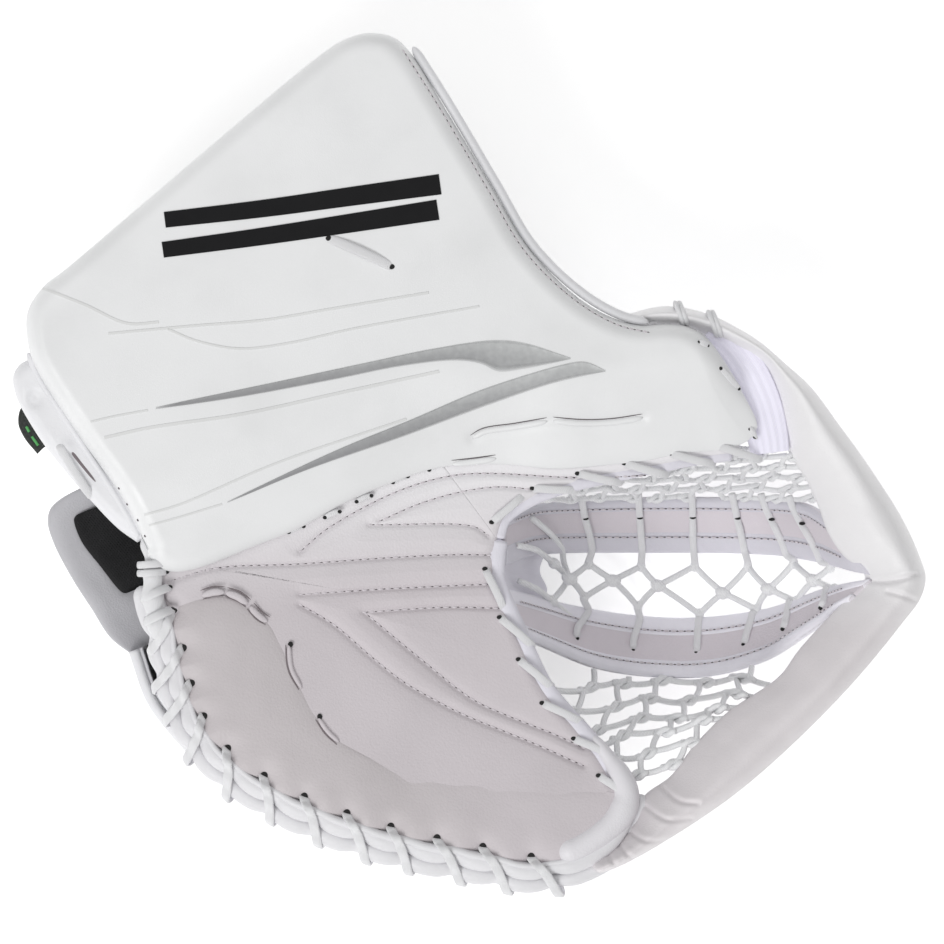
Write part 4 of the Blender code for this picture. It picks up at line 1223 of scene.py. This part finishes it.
def rim_height(points, across):
    """The padded rim: a soft ridge near its outer side and a fall to its edges."""
    ridge = smooth_step(across, -0.15, 0.66) * (1 - 0.55 * smooth_step(across, 0.66, 1.05))
    high = face_at(points) - 5.0 + 12.0 * ridge
    for number, wrinkle in enumerate(TIP_WRINKLES + END_WRINKLES):
        near = distance(points, curve(wrinkle, 24))
        deep = 2.6 if number == 0 else 1.5
        high -= deep * np.exp(-((near / 1.2) ** 2)) - 0.7 * np.exp(-((near / 3.2) ** 2))
    high += 0.8 * wobble(points, 26.0, 41.0) + 0.3 * wobble(points, 8.0, 17.0)
    return high


def make_rim():
    """The pocket's padded rim, one leather tube folded at its tip."""
    grid = ruled(RIM_INNER, RIM_OUTER, 620, 64, (0.1, 0.85))
    share = np.repeat(spread(64, 0.85), 620)
    flat = grid.reshape(-1, 2)
    fall = crown(grid, 7.0).reshape(-1)
    high = rim_height(flat, share) - (4.0 + 8.0 * share) * fall
    low = face_at(grid) - 20.0 + 8.0 * crown(grid, 6.0)
    rim = piece("Pocket_Rim", backed(raised(grid, high), low, 1.0), "rim", ACROSS_TIP,
                ("rim_thumb_cover", "rim_thumb_core", "rim_finger_cover", "rim_finger_core"))


RIM_TIES = (((93.0, 65.0), 4.6), ((107.6, 60.8), 4.8))   # middle, half its reach


def make_webbing():
    """The ribbed webbing from the thumb's tip, and the laces that tie the rim on."""
    line = curve(WEBBING, 160)
    share = np.linspace(-1, 1, 25)
    side = sideways(line)
    width = 8.4 + 1.6 * np.sin(np.linspace(0, np.pi, 160))
    grid = line[None] + side[None] * (share[:, None, None] * width[None, :, None])
    rib = 0.35 * np.cos(share * np.pi * 5.5)[:, None] * np.ones((1, 160))
    arch = 1.6 * (1 - share[:, None] ** 2)
    level = face_at(grid) - 2.5 + rib + arch
    top = np.dstack([grid, level])
    bottom = np.dstack([grid, level - 2.2 - 0.5 * arch])
    # The webbing's faint glow is painted light.
    piece("Rim_Webbing", slab(top, bottom), "webbing", "thumb_side",
          ("rim_webbing_strap",))
    for number, (middle, half) in enumerate(RIM_TIES, 1):
        coils = []
        for shift in (-0.9, 0.9):
            turn = np.linspace(-0.35, 2 * np.pi - 0.35, 50)
            centre = np.array([middle[0] + shift, middle[1]])
            high = face(*middle) - 2.0
            path = np.column_stack([
                centre[0] - 0.35 * half * np.cos(turn), centre[1] + half * np.cos(turn),
                high + 8.2 * np.sin(turn),
            ])
            coils.append(swept(path, 3.2, 2.0, 14, square=0.8))
        piece(f"Rim_Tie_{number}", joined(coils), "lace", "thumb_side",
              (f"rim_tie_lace_{number}",))
    over_surface("Thumb_Edge_Laces", [((100.4, 52.4), (104, 51)), ((109.8, 41), (118, 32.2)),
                                      ((123.4, 14.6), (125.6, 11))], cuff_height, "lace",
                 "thumb_side", width=3.0, rise=1.4, hole=1.0)


def make_corner_roll():
    """The padded roll that closes the corner between the palm and the rim."""
    path = on_face(curve([(54, -121), (60, -129), (66, -138), (69, -147), (66.5, -155),
                          (59, -163), (48, -169.5), (38, -173)], 160), -1.2)
    size = 5.5 + 6.5 * smooth_step(np.linspace(0, 1, 160), 0.05, 0.42)
    size += 1.0 * wobble(path[:, :2], 9.0, 6.0)
    roll = piece("Corner_Roll", swept(path, rounded_ends(path, size, 8.0), sides=22), "corner",
                 "finger_side", ("palm_corner_roll",))


# -------------------------------------------------------------------- pocket
CORD = 2.8   # thickness of the middle net's cord
THUMB_NET_EDGE = [(24, -22, 76), (50, -9, 76), (77, -3, 77), (103, 2, 79), (124, 5, 82),
                  (142, 2, 80), (152, -12, 78), (159, -24, 78), (168, -39, 78)]
FINGER_NET_EDGE = [(24, -81, 77), (34, -100, 77), (54, -124, 77), (67, -139, 78),
                   (89, -137, 78), (101, -123, 77), (116, -109, 77), (138, -92.5, 77),
                   (147, -81, 77), (165, -62, 78)]


def surface(edge_a, edge_b):
    """A function of (along, across), each 0 to 1, over the sheet between two space curves."""
    a, b = curve(edge_a, 200), curve(edge_b, 200)
    spots = np.linspace(0, 1, 200)

    def at(along, across):
        along, across = np.broadcast_arrays(np.asarray(along, float), np.asarray(across, float))
        low = np.stack([np.interp(along, spots, a[:, k]) for k in range(3)], -1)
        high = np.stack([np.interp(along, spots, b[:, k]) for k in range(3)], -1)
        return low + (high - low) * across[..., None]

    return at


def along_at_x(edge, x):
    """Share along a space curve where it has this x."""
    line = curve(edge, 200)
    return np.interp(x, line[:, 0], np.linspace(0, 1, 200))


def upward(grid):
    """Unit normals of a grid, turned to the palm's side."""
    normals = normals_of(grid)
    return normals * (1 if normals[..., 2].mean() > 0 else -1)


STRAP_WIDTH = 25.0


def strap_shape(edge_a, edge_b, share, thick, swell, columns=260, rows=40):
    """A soft strap over part of the sheet between two edges."""
    at = surface(edge_a, edge_b)
    across = share[0] + (share[1] - share[0]) * spread(rows, 0.8)
    u, v = np.meshgrid(np.linspace(0, 1, columns), across)
    grid = at(u, v)
    normals = upward(grid)
    inside = np.minimum(v - share[0], share[1] - v) * STRAP_WIDTH
    thin = 1 - 0.85 * rounding(inside, 2.0)
    lift = thick / 2 + swell * np.sin(np.pi * (v - share[0]) / (share[1] - share[0]))
    lift = lift * thin
    lift += 0.25 * wobble(grid.reshape(-1, 3), 12.0, 3.0).reshape(lift.shape)
    top = grid + normals * lift[..., None]
    bottom = grid - normals * (thick / 2 * thin)[..., None]
    bottom[..., 2] = np.maximum(bottom[..., 2], 0.6)
    return slab(top, bottom)


def make_straps():
    """The pocket's two straps, each bound along both edges and sewn."""
    for name, upper, lower, bounds in (
        ("upper", STRAP_1_UPPER, STRAP_1_LOWER, ((0.0, 0.24), (0.56, 1.0))),
        ("lower", STRAP_2_UPPER, STRAP_2_LOWER, ((0.0, 0.36), (0.72, 1.0))),
    ):
        strap = piece(f"Pocket_Strap_{name}", strap_shape(upper, lower, (0, 1), 3.0, 0.6),
                      "strap_face", "pocket", (f"pocket_strap_{name}",))
        edges = [strap_shape(upper, lower, bound, 4.4, 0.5, rows=24) for bound in bounds]
        # The upper strap's binding is painted darker for its shade and the lower strap's lighter for the
        # light on it.
        piece(f"Pocket_Strap_Binding_{name}", joined(edges), f"binding_{name}", "pocket")
        at = surface(upper, lower)
        rows = []
        for low, high in bounds:
            across = high - 0.09 if low == 0 else low + 0.11
            share = np.linspace(0.05, 0.95, 200)
            line = np.stack([at(share, across), at(share, across + 0.02)], 1)
            rows.append(line[:, 0] + upward(line)[:, 0] * 2.9)
        sew(f"Pocket_Strap_Stitching_{name}", rows, "thread", "pocket")


def strand(points):
    """One net cord through the points."""
    return swept(curve(points, step=1.6), CORD)


def knot(centre, along, size):
    """A tight knot, wider along the given direction."""
    a = unit(np.asarray(along, float))
    side = unit(np.cross(a, (0, 0, 1)) + 1e-6)
    axes = np.array([a, side, np.cross(a, side)])
    radii = np.array([4.1, 2.9, 2.7]) * size
    return [blob(centre, radii, 8, 12, axes),
            blob(centre + side * 1.3 * size, radii * (0.7, 0.75, 0.95), 6, 10, axes)]


def inside_of(points, outline):
    """True for each 2-D point within a closed outline."""
    x, y = points[:, 0], points[:, 1]
    odd = np.zeros(len(points), bool)
    for (ax, ay), (bx, by) in zip(outline, np.roll(outline, -1, 0)):
        rise = by - ay if by != ay else 1e-9
        odd ^= ((ay > y) != (by > y)) & (x < ax + (bx - ax) * (y - ay) / rise)
    return odd


def hung(points, borders):
    """Height of a slack net at 2-D points, from the space curves it hangs between."""
    gap = ((points[:, None] - borders[None, :, :2]) ** 2).sum(-1) + 6.0
    weight = gap ** -1.5
    return (weight * borders[:, 2]).sum(1) / weight.sum(1)


def twist(ends, size):
    """Two net cords turned once about each other between two points."""
    path = curve([ends[0], (ends[0] + ends[1]) / 2, ends[1]], 18)
    _, side, up = frames(path)
    share = np.linspace(0, 1, len(path))[:, None]
    turn = 0.5 + 1.5 * np.pi * share
    swing = 0.50 * size * np.sin(np.pi * share) ** 0.5
    swing = swing * (side * np.cos(turn) + up * np.sin(turn))
    return [swept(path + way * swing, size, sides=8) for way in (-1, 1)]


def net(outline, borders, origin, column, row, tilts, twist_long, size, seed):
    """A net whose cords are twisted in pairs, in rows, joined by single cords.

    column and row are the steps between pairs, tilts the slope of each row in degrees.
    """
    outline = np.array(outline, float)
    rows, columns = len(tilts), 14
    lefts = np.zeros((rows + 1, columns, 3))
    rights = np.zeros((rows + 1, columns, 3))
    for j in range(-1, rows):
        tilt = np.radians(tilts[max(j, 0)])
        way = np.array([np.cos(tilt), np.sin(tilt)])
        for i in range(columns):
            loose = np.array([1.3 * np.sin(i * 4.1 + j * 2.3 + seed),
                              0.11 * row[1] * np.sin(i * 2.7 + j * 5.9 + seed)])
            centre = np.array(origin) + i * column * way + j * np.array(row) + loose
            lean = 0.16 * np.sin(i * 3.7 + j * 1.9 + seed)
            half = twist_long / 2 * np.array([way[0], way[1] + lean])
            ends = np.array([centre - half, centre + half])
            ends = np.column_stack([ends, hung(ends, borders)])
            lefts[j, i], rights[j, i] = ends
    shapes = []

    def cord(points):
        path = curve(points, step=0.9)
        kept = inside_of(path[:, :2], outline)
        if kept.sum() > 4:
            first = int(np.argmax(kept))
            stop = first + int(np.argmin(np.append(kept[first:], False)))
            if stop - first > 3:
                shapes.append(swept(path[first:stop], size, sides=8))

    for j in range(rows):
        for i in range(columns - 1):
            a, b = lefts[j, i], rights[j, i]
            if inside_of(((a + b) / 2)[None, :2], outline)[0]:
                shapes.extend(twist((a, b), size))
            c = lefts[j, i + 1]
            inner = (b - a) * 0.22
            sag = np.array([0, 0.05 * row[1], -0.8])
            cord([b - inner, (b + c) / 2 + sag, c + inner])
            d = lefts[j - 1, i]
            cord([b - inner, (b + d) / 2 + (0.8 * np.sin(i * 1.7 + j), 0, 0), d + inner])
    return shapes


# x where each wrap crosses a strap's upper edge and its lower edge.
STRAP_1_WRAPS = ((49, 54), (76, 78), (101, 102.5), (120, 126.5), (134, 146.5), (147, 161))
STRAP_2_WRAPS = ((52, 49), (76.6, 74.8), (104.7, 103.3), (130.6, 124.3), (147.6, 141), (163, 156))
# Where the middle net hangs on the upper wraps, is knotted, and hangs on the lower wraps.
LOOPS = ((54, -46), (78, -47.3), (102.5, -47.3), (126.5, -47.3), (146.5, -45.6), (161.5, -46.8))
KNOTS = ((45, -52.5), (65, -53.6), (85.8, -56.1), (115.2, -59.4), (135.4, -57.4), (154.4, -53))
LOW_LOOPS = ((51.8, -61.4), (76.6, -66), (104.7, -69.3), (130.6, -67.1), (147.6, -63.2),
             (163, -57))


THROAT_CORDS = (   # cords of the middle net at the pocket's closed end
    ((27, -24.5, 51), (36, -32, 38), (41.5, -39, 26), (42.5, -45, 20), (45, -52.5, 14)),
    ((21, -37, 66), (30, -39.5, 48), (37, -45, 32), (45, -52.5, 15)),
    ((22, -53, 62), (30, -57, 46), (37, -62.5, 34), (46, -70, 24), (52, -73, 20)),
    ((37, -62.5, 34), (42, -57, 22), (45, -52.5, 15)),
)


def wrap(at, starts, ends, span, lift):
    """The path of a lace that crosses a strap's face."""
    share = np.linspace(0, 1, 30)
    along = starts + (ends - starts) * smooth_step(share, 0.0, 1.0)
    path = at(along, span[0] + (span[1] - span[0]) * share)
    beside = at(along + 0.01, span[0] + (span[1] - span[0]) * share)
    normal = upward(np.stack([path, beside], 1))[:, 0]
    return path + normal * lift


def make_middle_net():
    """The wraps round both straps and the big open cells between them."""
    borders = np.vstack([curve(STRAP_1_LOWER, 60), curve(STRAP_2_UPPER, 60)])
    places = []
    for spots in (LOOPS, KNOTS, LOW_LOOPS):
        flat = np.array(spots)
        places.append(np.column_stack([flat, np.maximum(hung(flat, borders) + 1.0, 2.4)]))
    loops, knots, low_loops = places
    laces, dots, cords = [], [], []
    upper = surface(STRAP_1_UPPER, STRAP_1_LOWER)
    for (start, end), loop in zip(STRAP_1_WRAPS, loops):
        first, last = along_at_x(STRAP_1_UPPER, start), along_at_x(STRAP_1_LOWER, end)
        path = wrap(upper, first, last, (-0.14, 0.99), 3.3)
        middle = path[12] + np.array([0, 0, -0.8])
        tail = loop + np.array([[0, 1.2, 1.2], [0, -0.6, -1.0]])
        whole = curve(np.vstack([path[:10:3], middle[None], path[15::4], tail]), 70)
        laces.append(swept(whole, 3.3, 2.2, 12, square=0.9))
        dots.append(blob(middle + np.array([0, 0.6, 1.3]), (1.5, 0.8, 0.7), 6, 12))
    lower = surface(STRAP_2_UPPER, STRAP_2_LOWER)
    for (start, end), loop in zip(STRAP_2_WRAPS, low_loops):
        first, last = along_at_x(STRAP_2_UPPER, start), along_at_x(STRAP_2_LOWER, end)
        path = wrap(lower, first, last, (0.02, 0.60), 3.2)
        head = loop + np.array([[0, 0.8, -0.8], [0, -1.4, 1.0]])
        whole = curve(np.vstack([head, path[3::4], path[-1:] + (0, -0.9, -3.0)]), 60)
        laces.append(swept(whole, 3.3, 2.2, 12, square=0.9))
        dots.append(blob(path[-1] + np.array([-0.3, -1.3, -1.4]), (1.4, 1.0, 1.0), 6, 12))
    for i, spot in enumerate(knots):
        joins = [loops[i]] + ([loops[i - 1]] if i else [])
        joins += [low_loops[i]] + ([low_loops[i - 1]] if i else [])
        for other in joins:
            bow = np.sign(other - spot) * (0.9, 0.35, 0.0)
            cords.append(strand([spot, (spot + other) / 2 + bow, other]))
        cords += knot(spot, (1, -0.3 + 0.2 * np.sin(i * 2.0), 0), 0.95)
    for spot in np.vstack([loops, low_loops]):
        cords.append(blob(spot, (2.1, 2.9, 2.2), 7, 12))
    cords += [strand(points) for points in THROAT_CORDS]
    cords += knot((37, -62.5, 34), (1, -0.8, 0.2), 0.8) + knot((38, -45.5, 31), (1, -0.6, 0), 0.8)
    piece("Strap_Wraps", joined(laces), "lace", "pocket")
    # Painted shade: black dots for the shade where the wraps pass through the straps.
    piece("Strap_Lace_Holes", joined(dots), "dark", "pocket")
    piece("Pocket_Net_Middle", joined(cords), "cord", "pocket", ("pocket_net_middle",))


UPPER_NET_AREA = (
    (20, -26), (30, -15), (40, -10), (59, -5), (77, -1.5), (96, 3), (116, 6), (130, 7), (143, 5),
    (151, -8), (158, -20), (168, -36), (160, -31), (147, -21.5), (136, -17.5), (110, -16.5),
    (80, -16.5), (50, -17.5), (34, -19.5), (24, -24),
)
LOWER_NET_AREA = (
    (26, -99), (44, -98), (47, -88), (57, -94), (80, -97.5), (108, -97.5), (132, -90), (150, -77),
    (158, -69), (147, -85), (138, -96), (115, -112.5), (100, -127), (90, -140.5), (78, -149),
    (69, -147), (60, -138), (50, -123), (30, -100), (22, -84),
)


def make_side_nets():
    """The nets from the thumb's edge and the fingers' edge down to the straps."""
    thumb = ("finger_side", "thumb_side", (80, -29, -36), (80, -3, 76))
    borders = np.vstack([curve(STRAP_1_UPPER, 60), curve(THUMB_NET_EDGE, 60)])
    shapes = net(UPPER_NET_AREA, borders, origin=(27, 1.2), column=13.2, row=(-4.2, -3.5),
                 tilts=(2.6, 2.1, 1.6, 1.1, 0.5, 0), twist_long=7.6, size=2.4, seed=1.0)
    piece("Pocket_Net_Upper", joined(shapes), "cord", thumb, ("pocket_net_upper",))
    finger = ("thumb_side", "finger_side", (80, -88, -36), (80, -124, 76))
    borders = np.vstack([curve(STRAP_2_LOWER, 60), curve(FINGER_NET_EDGE, 60)])
    shapes = net(LOWER_NET_AREA, borders, origin=(34.2, -101.4), column=17.8, row=(-6.0, -10.8),
                 tilts=(2, 5, 8, 12, 13, 14), twist_long=8.8, size=2.75, seed=4.0)
    piece("Pocket_Net_Lower", joined(shapes), "cord", finger, ("pocket_net_lower",))


def make_throat():
    """The leather that lines the pocket's closed end, under the palm's edge."""
    top = [(13, -28, 77), (12, -40, 76), (12.5, -52, 76), (16.5, -65, 76), (20, -74, 77)]
    low = [(29, -26, 30), (31, -38, 20), (32, -48, 17), (32.5, -60, 20), (32, -73, 30)]
    grid = surface(top, low)(*np.meshgrid(np.linspace(0, 1, 150), np.linspace(0, 1, 60)))
    along = np.linspace(0, 1, 150)[None, :]
    folds = 1.5 * np.cos(along * np.pi * 6) * np.linspace(0.2, 1, 60)[:, None]
    normals = upward(grid)
    top_grid = grid + normals * (1.2 + folds)[..., None]
    bottom_grid = grid + normals * (folds - 1.2)[..., None]
    piece("Pocket_Throat", slab(top_grid, bottom_grid), "strap", ACROSS_FOLD)


EDGE_LACE_PITCH = 19.5
EDGE_LACE_TURN = (   # inwards, up from the palm leather, along the edge
    (3.9, -1.4, -0.6), (3.0, 0.9, 1.4), (0.8, 1.5, 5.6), (-1.2, 1.5, 9.6),
    (-3.0, 0.2, 13.6), (-4.2, -3.0, 16.6), (-3.6, -8.0, 18.0),
)


def make_pocket_edges():
    """Bindings along the pocket's edges and the lace whipped over them."""
    for name, line, nodes, rides in (
        ("Palm", POCKET_LINE, ("palm_pocket_binding",), ACROSS_FOLD),
        ("Thumb", THUMB_LINE, ("thumb_pocket_binding",), "thumb_side"),
    ):
        path = on_face(line, -3.0)
        path[:, :2] = moved_sideways(line, 1.0 if name == "Palm" else 0.6)
        size = (7.6 if name == "Palm" else 5.4) + 0.6 * wobble(line, 7.0, 3.0)
        size = rounded_ends(path, size, 0.8)
        piece(f"{name}_Pocket_Binding", swept(path, size, size * 0.8, sides=16, square=0.8),
              "strap", rides, nodes)
    whole = np.vstack([POCKET_LINE, THUMB_LINE[1:]])
    whole = curve(whole[::6], 400)
    count = int(length_of(whole) / EDGE_LACE_PITCH)
    index = np.linspace(8, 390, count).astype(int)
    across = sideways(whole)
    along = unit(np.gradient(whole, axis=0))
    laces, holes = [], []
    for i in index:
        inward, forward = -across[i], along[i] * (1 if whole[i, 1] > -45 else -1)
        start = whole[i] + inward * 4.1
        level = float(palm_height(start[None])[0])
        path = curve([
            (*(whole[i] + inward * out + forward * slant), level + up)
            for out, up, slant in EDGE_LACE_TURN
        ], 40)
        laces.append(swept(path, 3.6, 1.7, 12, square=0.8))
        holes.append(blob((*(start - forward * 0.8), level), (1.3, 1.0, 0.6), 6, 14))
    piece("Pocket_Edge_Lace", joined(laces), "lace", ACROSS_FOLD)
    # Painted shade: black blobs for the shade inside the lace holes.
    piece("Pocket_Edge_Holes", joined(holes), "dark", ACROSS_FOLD)


# ----------------------------------------------------------- back and inside
BACK_TOP_EDGE = [
    (-150, -84), (-142, -106), (-130, -122), (-118, -134), (-103, -145), (-80, -156),
    (-50, -165), (-20, -172), (10, -174), (34, -171),
]
BACK_SEAMS = (0.17, 0.37, 0.57, 0.77)
BACK_CROSS_SEAMS = (0.30, 0.58)
BACK_CURL = 34.0      # how far from the edge the back starts to rise
ROLLS_DEPTH = 26.0    # how far below the palm face the back's edge ends
BACK_THICKNESS = 9.4


def back_grid(columns, rows, lift, inset):
    """The back of the hand as a grid: flat under the hand, rising to the rolls."""
    top = moved_sideways(curve(BACK_TOP_EDGE, columns), -inset)
    start = np.column_stack([np.linspace(-106, 6, columns), np.full(columns, 6.0)])
    reach = np.linalg.norm(top - start, axis=1)
    flat = 1 - BACK_CURL / reach
    full = face_at(top) - ROLLS_DEPTH - lift
    grid = np.empty((rows, columns, 3))
    for j, share in enumerate(np.linspace(0, 1, rows)):
        level = share < 0.5
        turn = (share - 0.5) * np.pi
        along = flat * share * 2 if level else flat + (1 - flat) * np.sin(turn)
        height = np.zeros(columns) if level else full * (1 - np.cos(turn))
        grid[j, :, :2] = start + (top - start) * np.reshape(along, (-1, 1))
        grid[j, :, 2] = height + lift
    return grid


def make_back():
    """The back of the hand: padded segments between sewn channels, lined inside."""
    outer = back_grid(240, 150, 0.0, 0.0)
    u, v = np.meshgrid(np.linspace(0, 1, 240), np.linspace(0, 1, 150))
    near = np.min([np.abs(u - seam) for seam in BACK_SEAMS], axis=0) * 175
    near = np.minimum(near, np.min([np.abs(v - seam) for seam in BACK_CROSS_SEAMS], axis=0) * 150)
    edge = np.minimum(np.minimum(u, 1 - u) * 175, np.minimum(v, 1 - v) * 150)
    sink = 3.0 * np.exp(-near / 3.0) + 2.6 * np.exp(-edge / 3.5)
    normals = upward(outer)
    skin = outer + normals * sink[..., None]
    inner = back_grid(240, 150, BACK_THICKNESS, 4.0)
    back = piece("Backhand_Cover", slab(inner, skin), "white", "finger_side",
                 ("backhand_cover", "backhand_foam"))
    lining = back_grid(120, 80, BACK_THICKNESS + 0.2, 6.0)
    piece("Backhand_Lining", slab(lining + upward(lining) * 1.4, lining), "liner",
          "finger_side")
    lines = []
    for seam in BACK_SEAMS:
        column = int(seam * 239)
        lines.append((skin - normals * 0.1)[4:-4, column])
    for seam in BACK_CROSS_SEAMS:
        lines.append((skin - normals * 0.1)[int(seam * 149), 4:-4])
    sew("Backhand_Stitching", lines, "thread", "finger_side",
        length=3.0, gap=1.6, width=0.6)
    rim_path = curve(outer[-1, ::6], 160)
    piece("Backhand_Binding", swept(rim_path, 5.0, sides=14), "white", "finger_side")


def stall_shape(start, end, radius, wall=1.6):
    """A glove finger: a soft tube with an open mouth and a round tip."""
    start, end = np.array(start, float), np.array(end, float)
    long = np.linalg.norm(end - start)
    turn = np.linspace(0, np.pi / 2, 9)[:-1]
    outer = [(s, radius + 0.35 * np.sin(s * 0.9)) for s in np.linspace(0, long - radius, 26)]
    outer += [(long - radius + radius * np.sin(t), radius * np.cos(t)) for t in turn[1:]]
    inner = [(s if s < long - radius else s - wall, r - wall) for s, r in outer if r > 2 * wall]
    profile = np.array(outer + inner[::-1])
    axis = (end - start) / long
    side = unit(np.cross(axis, (0, 0, 1)))
    lift = np.cross(side, axis)
    angle = np.arange(28) * 2 * np.pi / 28
    ring = np.cos(angle)[:, None] * side + np.sin(angle)[:, None] * lift
    points = start + profile[:, 0, None, None] * axis + profile[:, 1, None, None] * ring[None]
    rows = len(profile)
    tip = len(outer)
    faces = grid_faces(tip, 28, wrap=True) + grid_faces(rows - tip, 28, tip * 28, wrap=True)
    faces.append(list(range((tip - 1) * 28, tip * 28)))
    faces.append(list(range(tip * 28, (tip + 1) * 28))[::-1])
    last = (rows - 1) * 28
    faces += [[i, (i + 1) % 28, last + (i + 1) % 28, last + i] for i in range(28)]
    return points.reshape(-1, 3), faces


def sheet_along(profile, width, way, thick, swell, columns=40, rows=120):
    """A strip that follows a profile of 3-D points, its width along one direction."""
    path = curve(profile, rows)
    share = np.linspace(-1, 1, columns)
    way = unit(np.array(way, float))
    grid = path[:, None] + way * (share[None, :, None] * width / 2)
    normals = normals_of(grid)
    round_off = 1 - 0.9 * (1 - np.sqrt(np.clip(1 - np.abs(share) ** 6, 0, 1)))
    up = (thick / 2 + swell * (1 - share ** 2)) * round_off
    down = thick / 2 * round_off
    return slab(grid + normals * up[None, :, None], grid - normals * down[None, :, None])


PALM_LINING_TOP = -4.2
FINGERS = ((-76, -126), (-51, -137), (-26, -142), (-1, -141))   # x, and y of the tip
FINGER_ROOT_Y = -84
FINGER_LEVEL = 46


def make_inside():
    """What the hand goes into: stalls, hand strap, thumb guard and quilted liners."""
    for number, (x, tip) in enumerate(FINGERS, 1):
        shape = stall_shape((x, FINGER_ROOT_Y, FINGER_LEVEL), (x, tip, FINGER_LEVEL), 11.0)
        piece(f"Finger_Stall_{number}", shape, "liner", "finger_side",
              (f"finger_stall_{number}",))
    piece("Thumb_Stall", stall_shape((30, 30, 60), (90, 30, 60), 13.0), "liner",
          "thumb_side", ("thumb_stall",))
    strap = [(-77, -78, 13), (-77, -60, 16), (-77, -36, 18), (-77, -14, 16), (-77, -2, 13)]
    shape = sheet_along(strap, width=30, way=(1, 0, 0), thick=2.0, swell=0.4)
    piece("Hand_Strap", shape, "liner", "finger_side", ("hand_strap",))
    turns = np.linspace(0, np.pi, 15)
    arch = [(57, 30 - 18.5 * np.cos(turn), 60 - 18.5 * np.sin(turn)) for turn in turns]
    guard = [(57, 11.5, 75)] + arch + [(57, 48.5, 75)]
    shape = sheet_along(guard, width=66, way=(1, 0, 0), thick=2.4, swell=0.6, columns=60, rows=90)
    piece("Thumb_Guard", shape, "white", "thumb_side",
                    ("thumb_guard",))
    quilt("Palm_Padding", moved_sideways(curve(PALM_EDGE, 200), -8.0)[4:-4],
          [(-127, -53), (-60, -53), (-12, -54), (0, -60), (8, -75), (18, -98), (40, -125),
           (54, -140)],
          -13.0, PALM_LINING_TOP, "liner", "finger_side", ("palm_padding", "palm_liner"))
    quilt("Thumb_Palm_Padding", [(-108, -49), (-50, -49), (6, -49)],
          [(-108, -43), (-75, -29), (-34, -13), (6, -9)], -8.8, PALM_LINING_TOP, "liner",
          "thumb_side", ("palm_padding_thumb",))
    quilt("Cuff_Liner",
          [(-150, 14), (-110, 14), (-60, 16), (-20, 30), (0, 60), (-14, 120), (-36, 168)],
          [(-166, 18), (-183, 50), (-180, 66), (-120, 116), (-60, 166), (-44, 172)],
          -8.0, 0.2, "liner", "thumb_side", ("cuff_liner",))
    quilt("Closure_Patch", [(-184, 18), (-168, 6)], [(-180, 34), (-158, 24)], -11.0, -8.8,
          "liner", "thumb_side", ("closure_patch",), 2.0)


def quilt(name, lower, upper, base, top_level, finish, rides, nodes, pitch=24.0):
    """A lining pad that follows the palm face, quilted in diamonds on its hand side."""
    grid = ruled(lower, upper, 150, 70, (0.6, 0.7))
    level = face_at(grid)
    across = np.abs(np.sin((grid[..., 0] + grid[..., 1]) * np.pi / pitch))
    other = np.abs(np.sin((grid[..., 0] - grid[..., 1]) * np.pi / pitch))
    puff = 1 - np.exp(-3.5 * np.minimum(across, other))
    edge = 1 - crown(grid, 5.0)
    deep = (top_level - base) * 0.5
    bottom = np.dstack([grid, level + top_level - deep - deep * edge * (0.55 + 0.45 * puff)])
    top = np.dstack([grid, level + top_level])
    pad = piece(name, slab(top, bottom), finish, rides, nodes)


STRAP_ORIGIN = np.array([-120.0, 50.0])
STRAP_ALONG = np.array([0.917, 0.399])


def strap_profile(pairs, shift=0.0):
    """Points of the wrist strap from (distance along, height) pairs."""
    side = np.array([STRAP_ALONG[1], -STRAP_ALONG[0]])
    return [(*(STRAP_ORIGIN + STRAP_ALONG * s + side * shift), z) for s, z in pairs]


def make_wrist_strap():
    """The strap round the wrist with bound, stitched edges, and its soft pad."""
    pairs = ((-61, 74), (-60, 56), (-56, 34), (-46, 15), (-30, 5), (-14, 1.9), (0, 1.9),
             (14, 1.9), (30, 5), (46, 15), (56, 34), (60, 56), (61, 74))
    way = (STRAP_ALONG[1], -STRAP_ALONG[0], 0)
    shape = sheet_along(strap_profile(pairs), width=50, way=way, thick=3.0, swell=0.0,
                        columns=60, rows=160)
    piece("Wrist_Strap", shape, "white", "wrist_strap", ("wrist_strap",))
    lines, edges = [], []
    for side in (-1, 1):
        path = curve(strap_profile(pairs, side * 20.5), 160)
        normal = normals_of(np.stack([path, path + np.array([*way[:2], 0])], 1))[:, 0]
        lines += [path + normal * 1.7, path - normal * 1.7]
        bound = curve(strap_profile(pairs, side * 24.6), 160)
        bound[:, 2] = np.maximum(bound[:, 2], 2.0)
        edges.append(swept(bound, 3.6, 3.6, 12))
    sew("Wrist_Strap_Stitching", lines, "thread", "wrist_strap",
        length=2.8, gap=1.4, width=0.5)
    # The binding shares the webbing's faint glow, a painted light.
    piece("Wrist_Strap_Binding", joined(edges), "webbing", "wrist_strap")
    pairs = ((-40, 17.5), (-26, 10.5), (-12, 8), (12, 8), (26, 10.5), (40, 17.5))
    shape = sheet_along(strap_profile(pairs), width=42, way=way, thick=5.0, swell=1.6, columns=60)
    piece("Wrist_Strap_Pad", shape, "liner", "wrist_strap",
                    ("wrist_strap_pad",))


# --------------------------------------------------------------------- build
make_studio()
make_palm()
make_finger_pad()
make_perimeter()
make_cuff()
make_side_strip()
make_tab()
make_flap()
make_rim()
make_webbing()
make_corner_roll()
make_straps()
make_middle_net()
make_side_nets()
make_throat()
make_pocket_edges()
make_back()
make_inside()
make_wrist_strap()
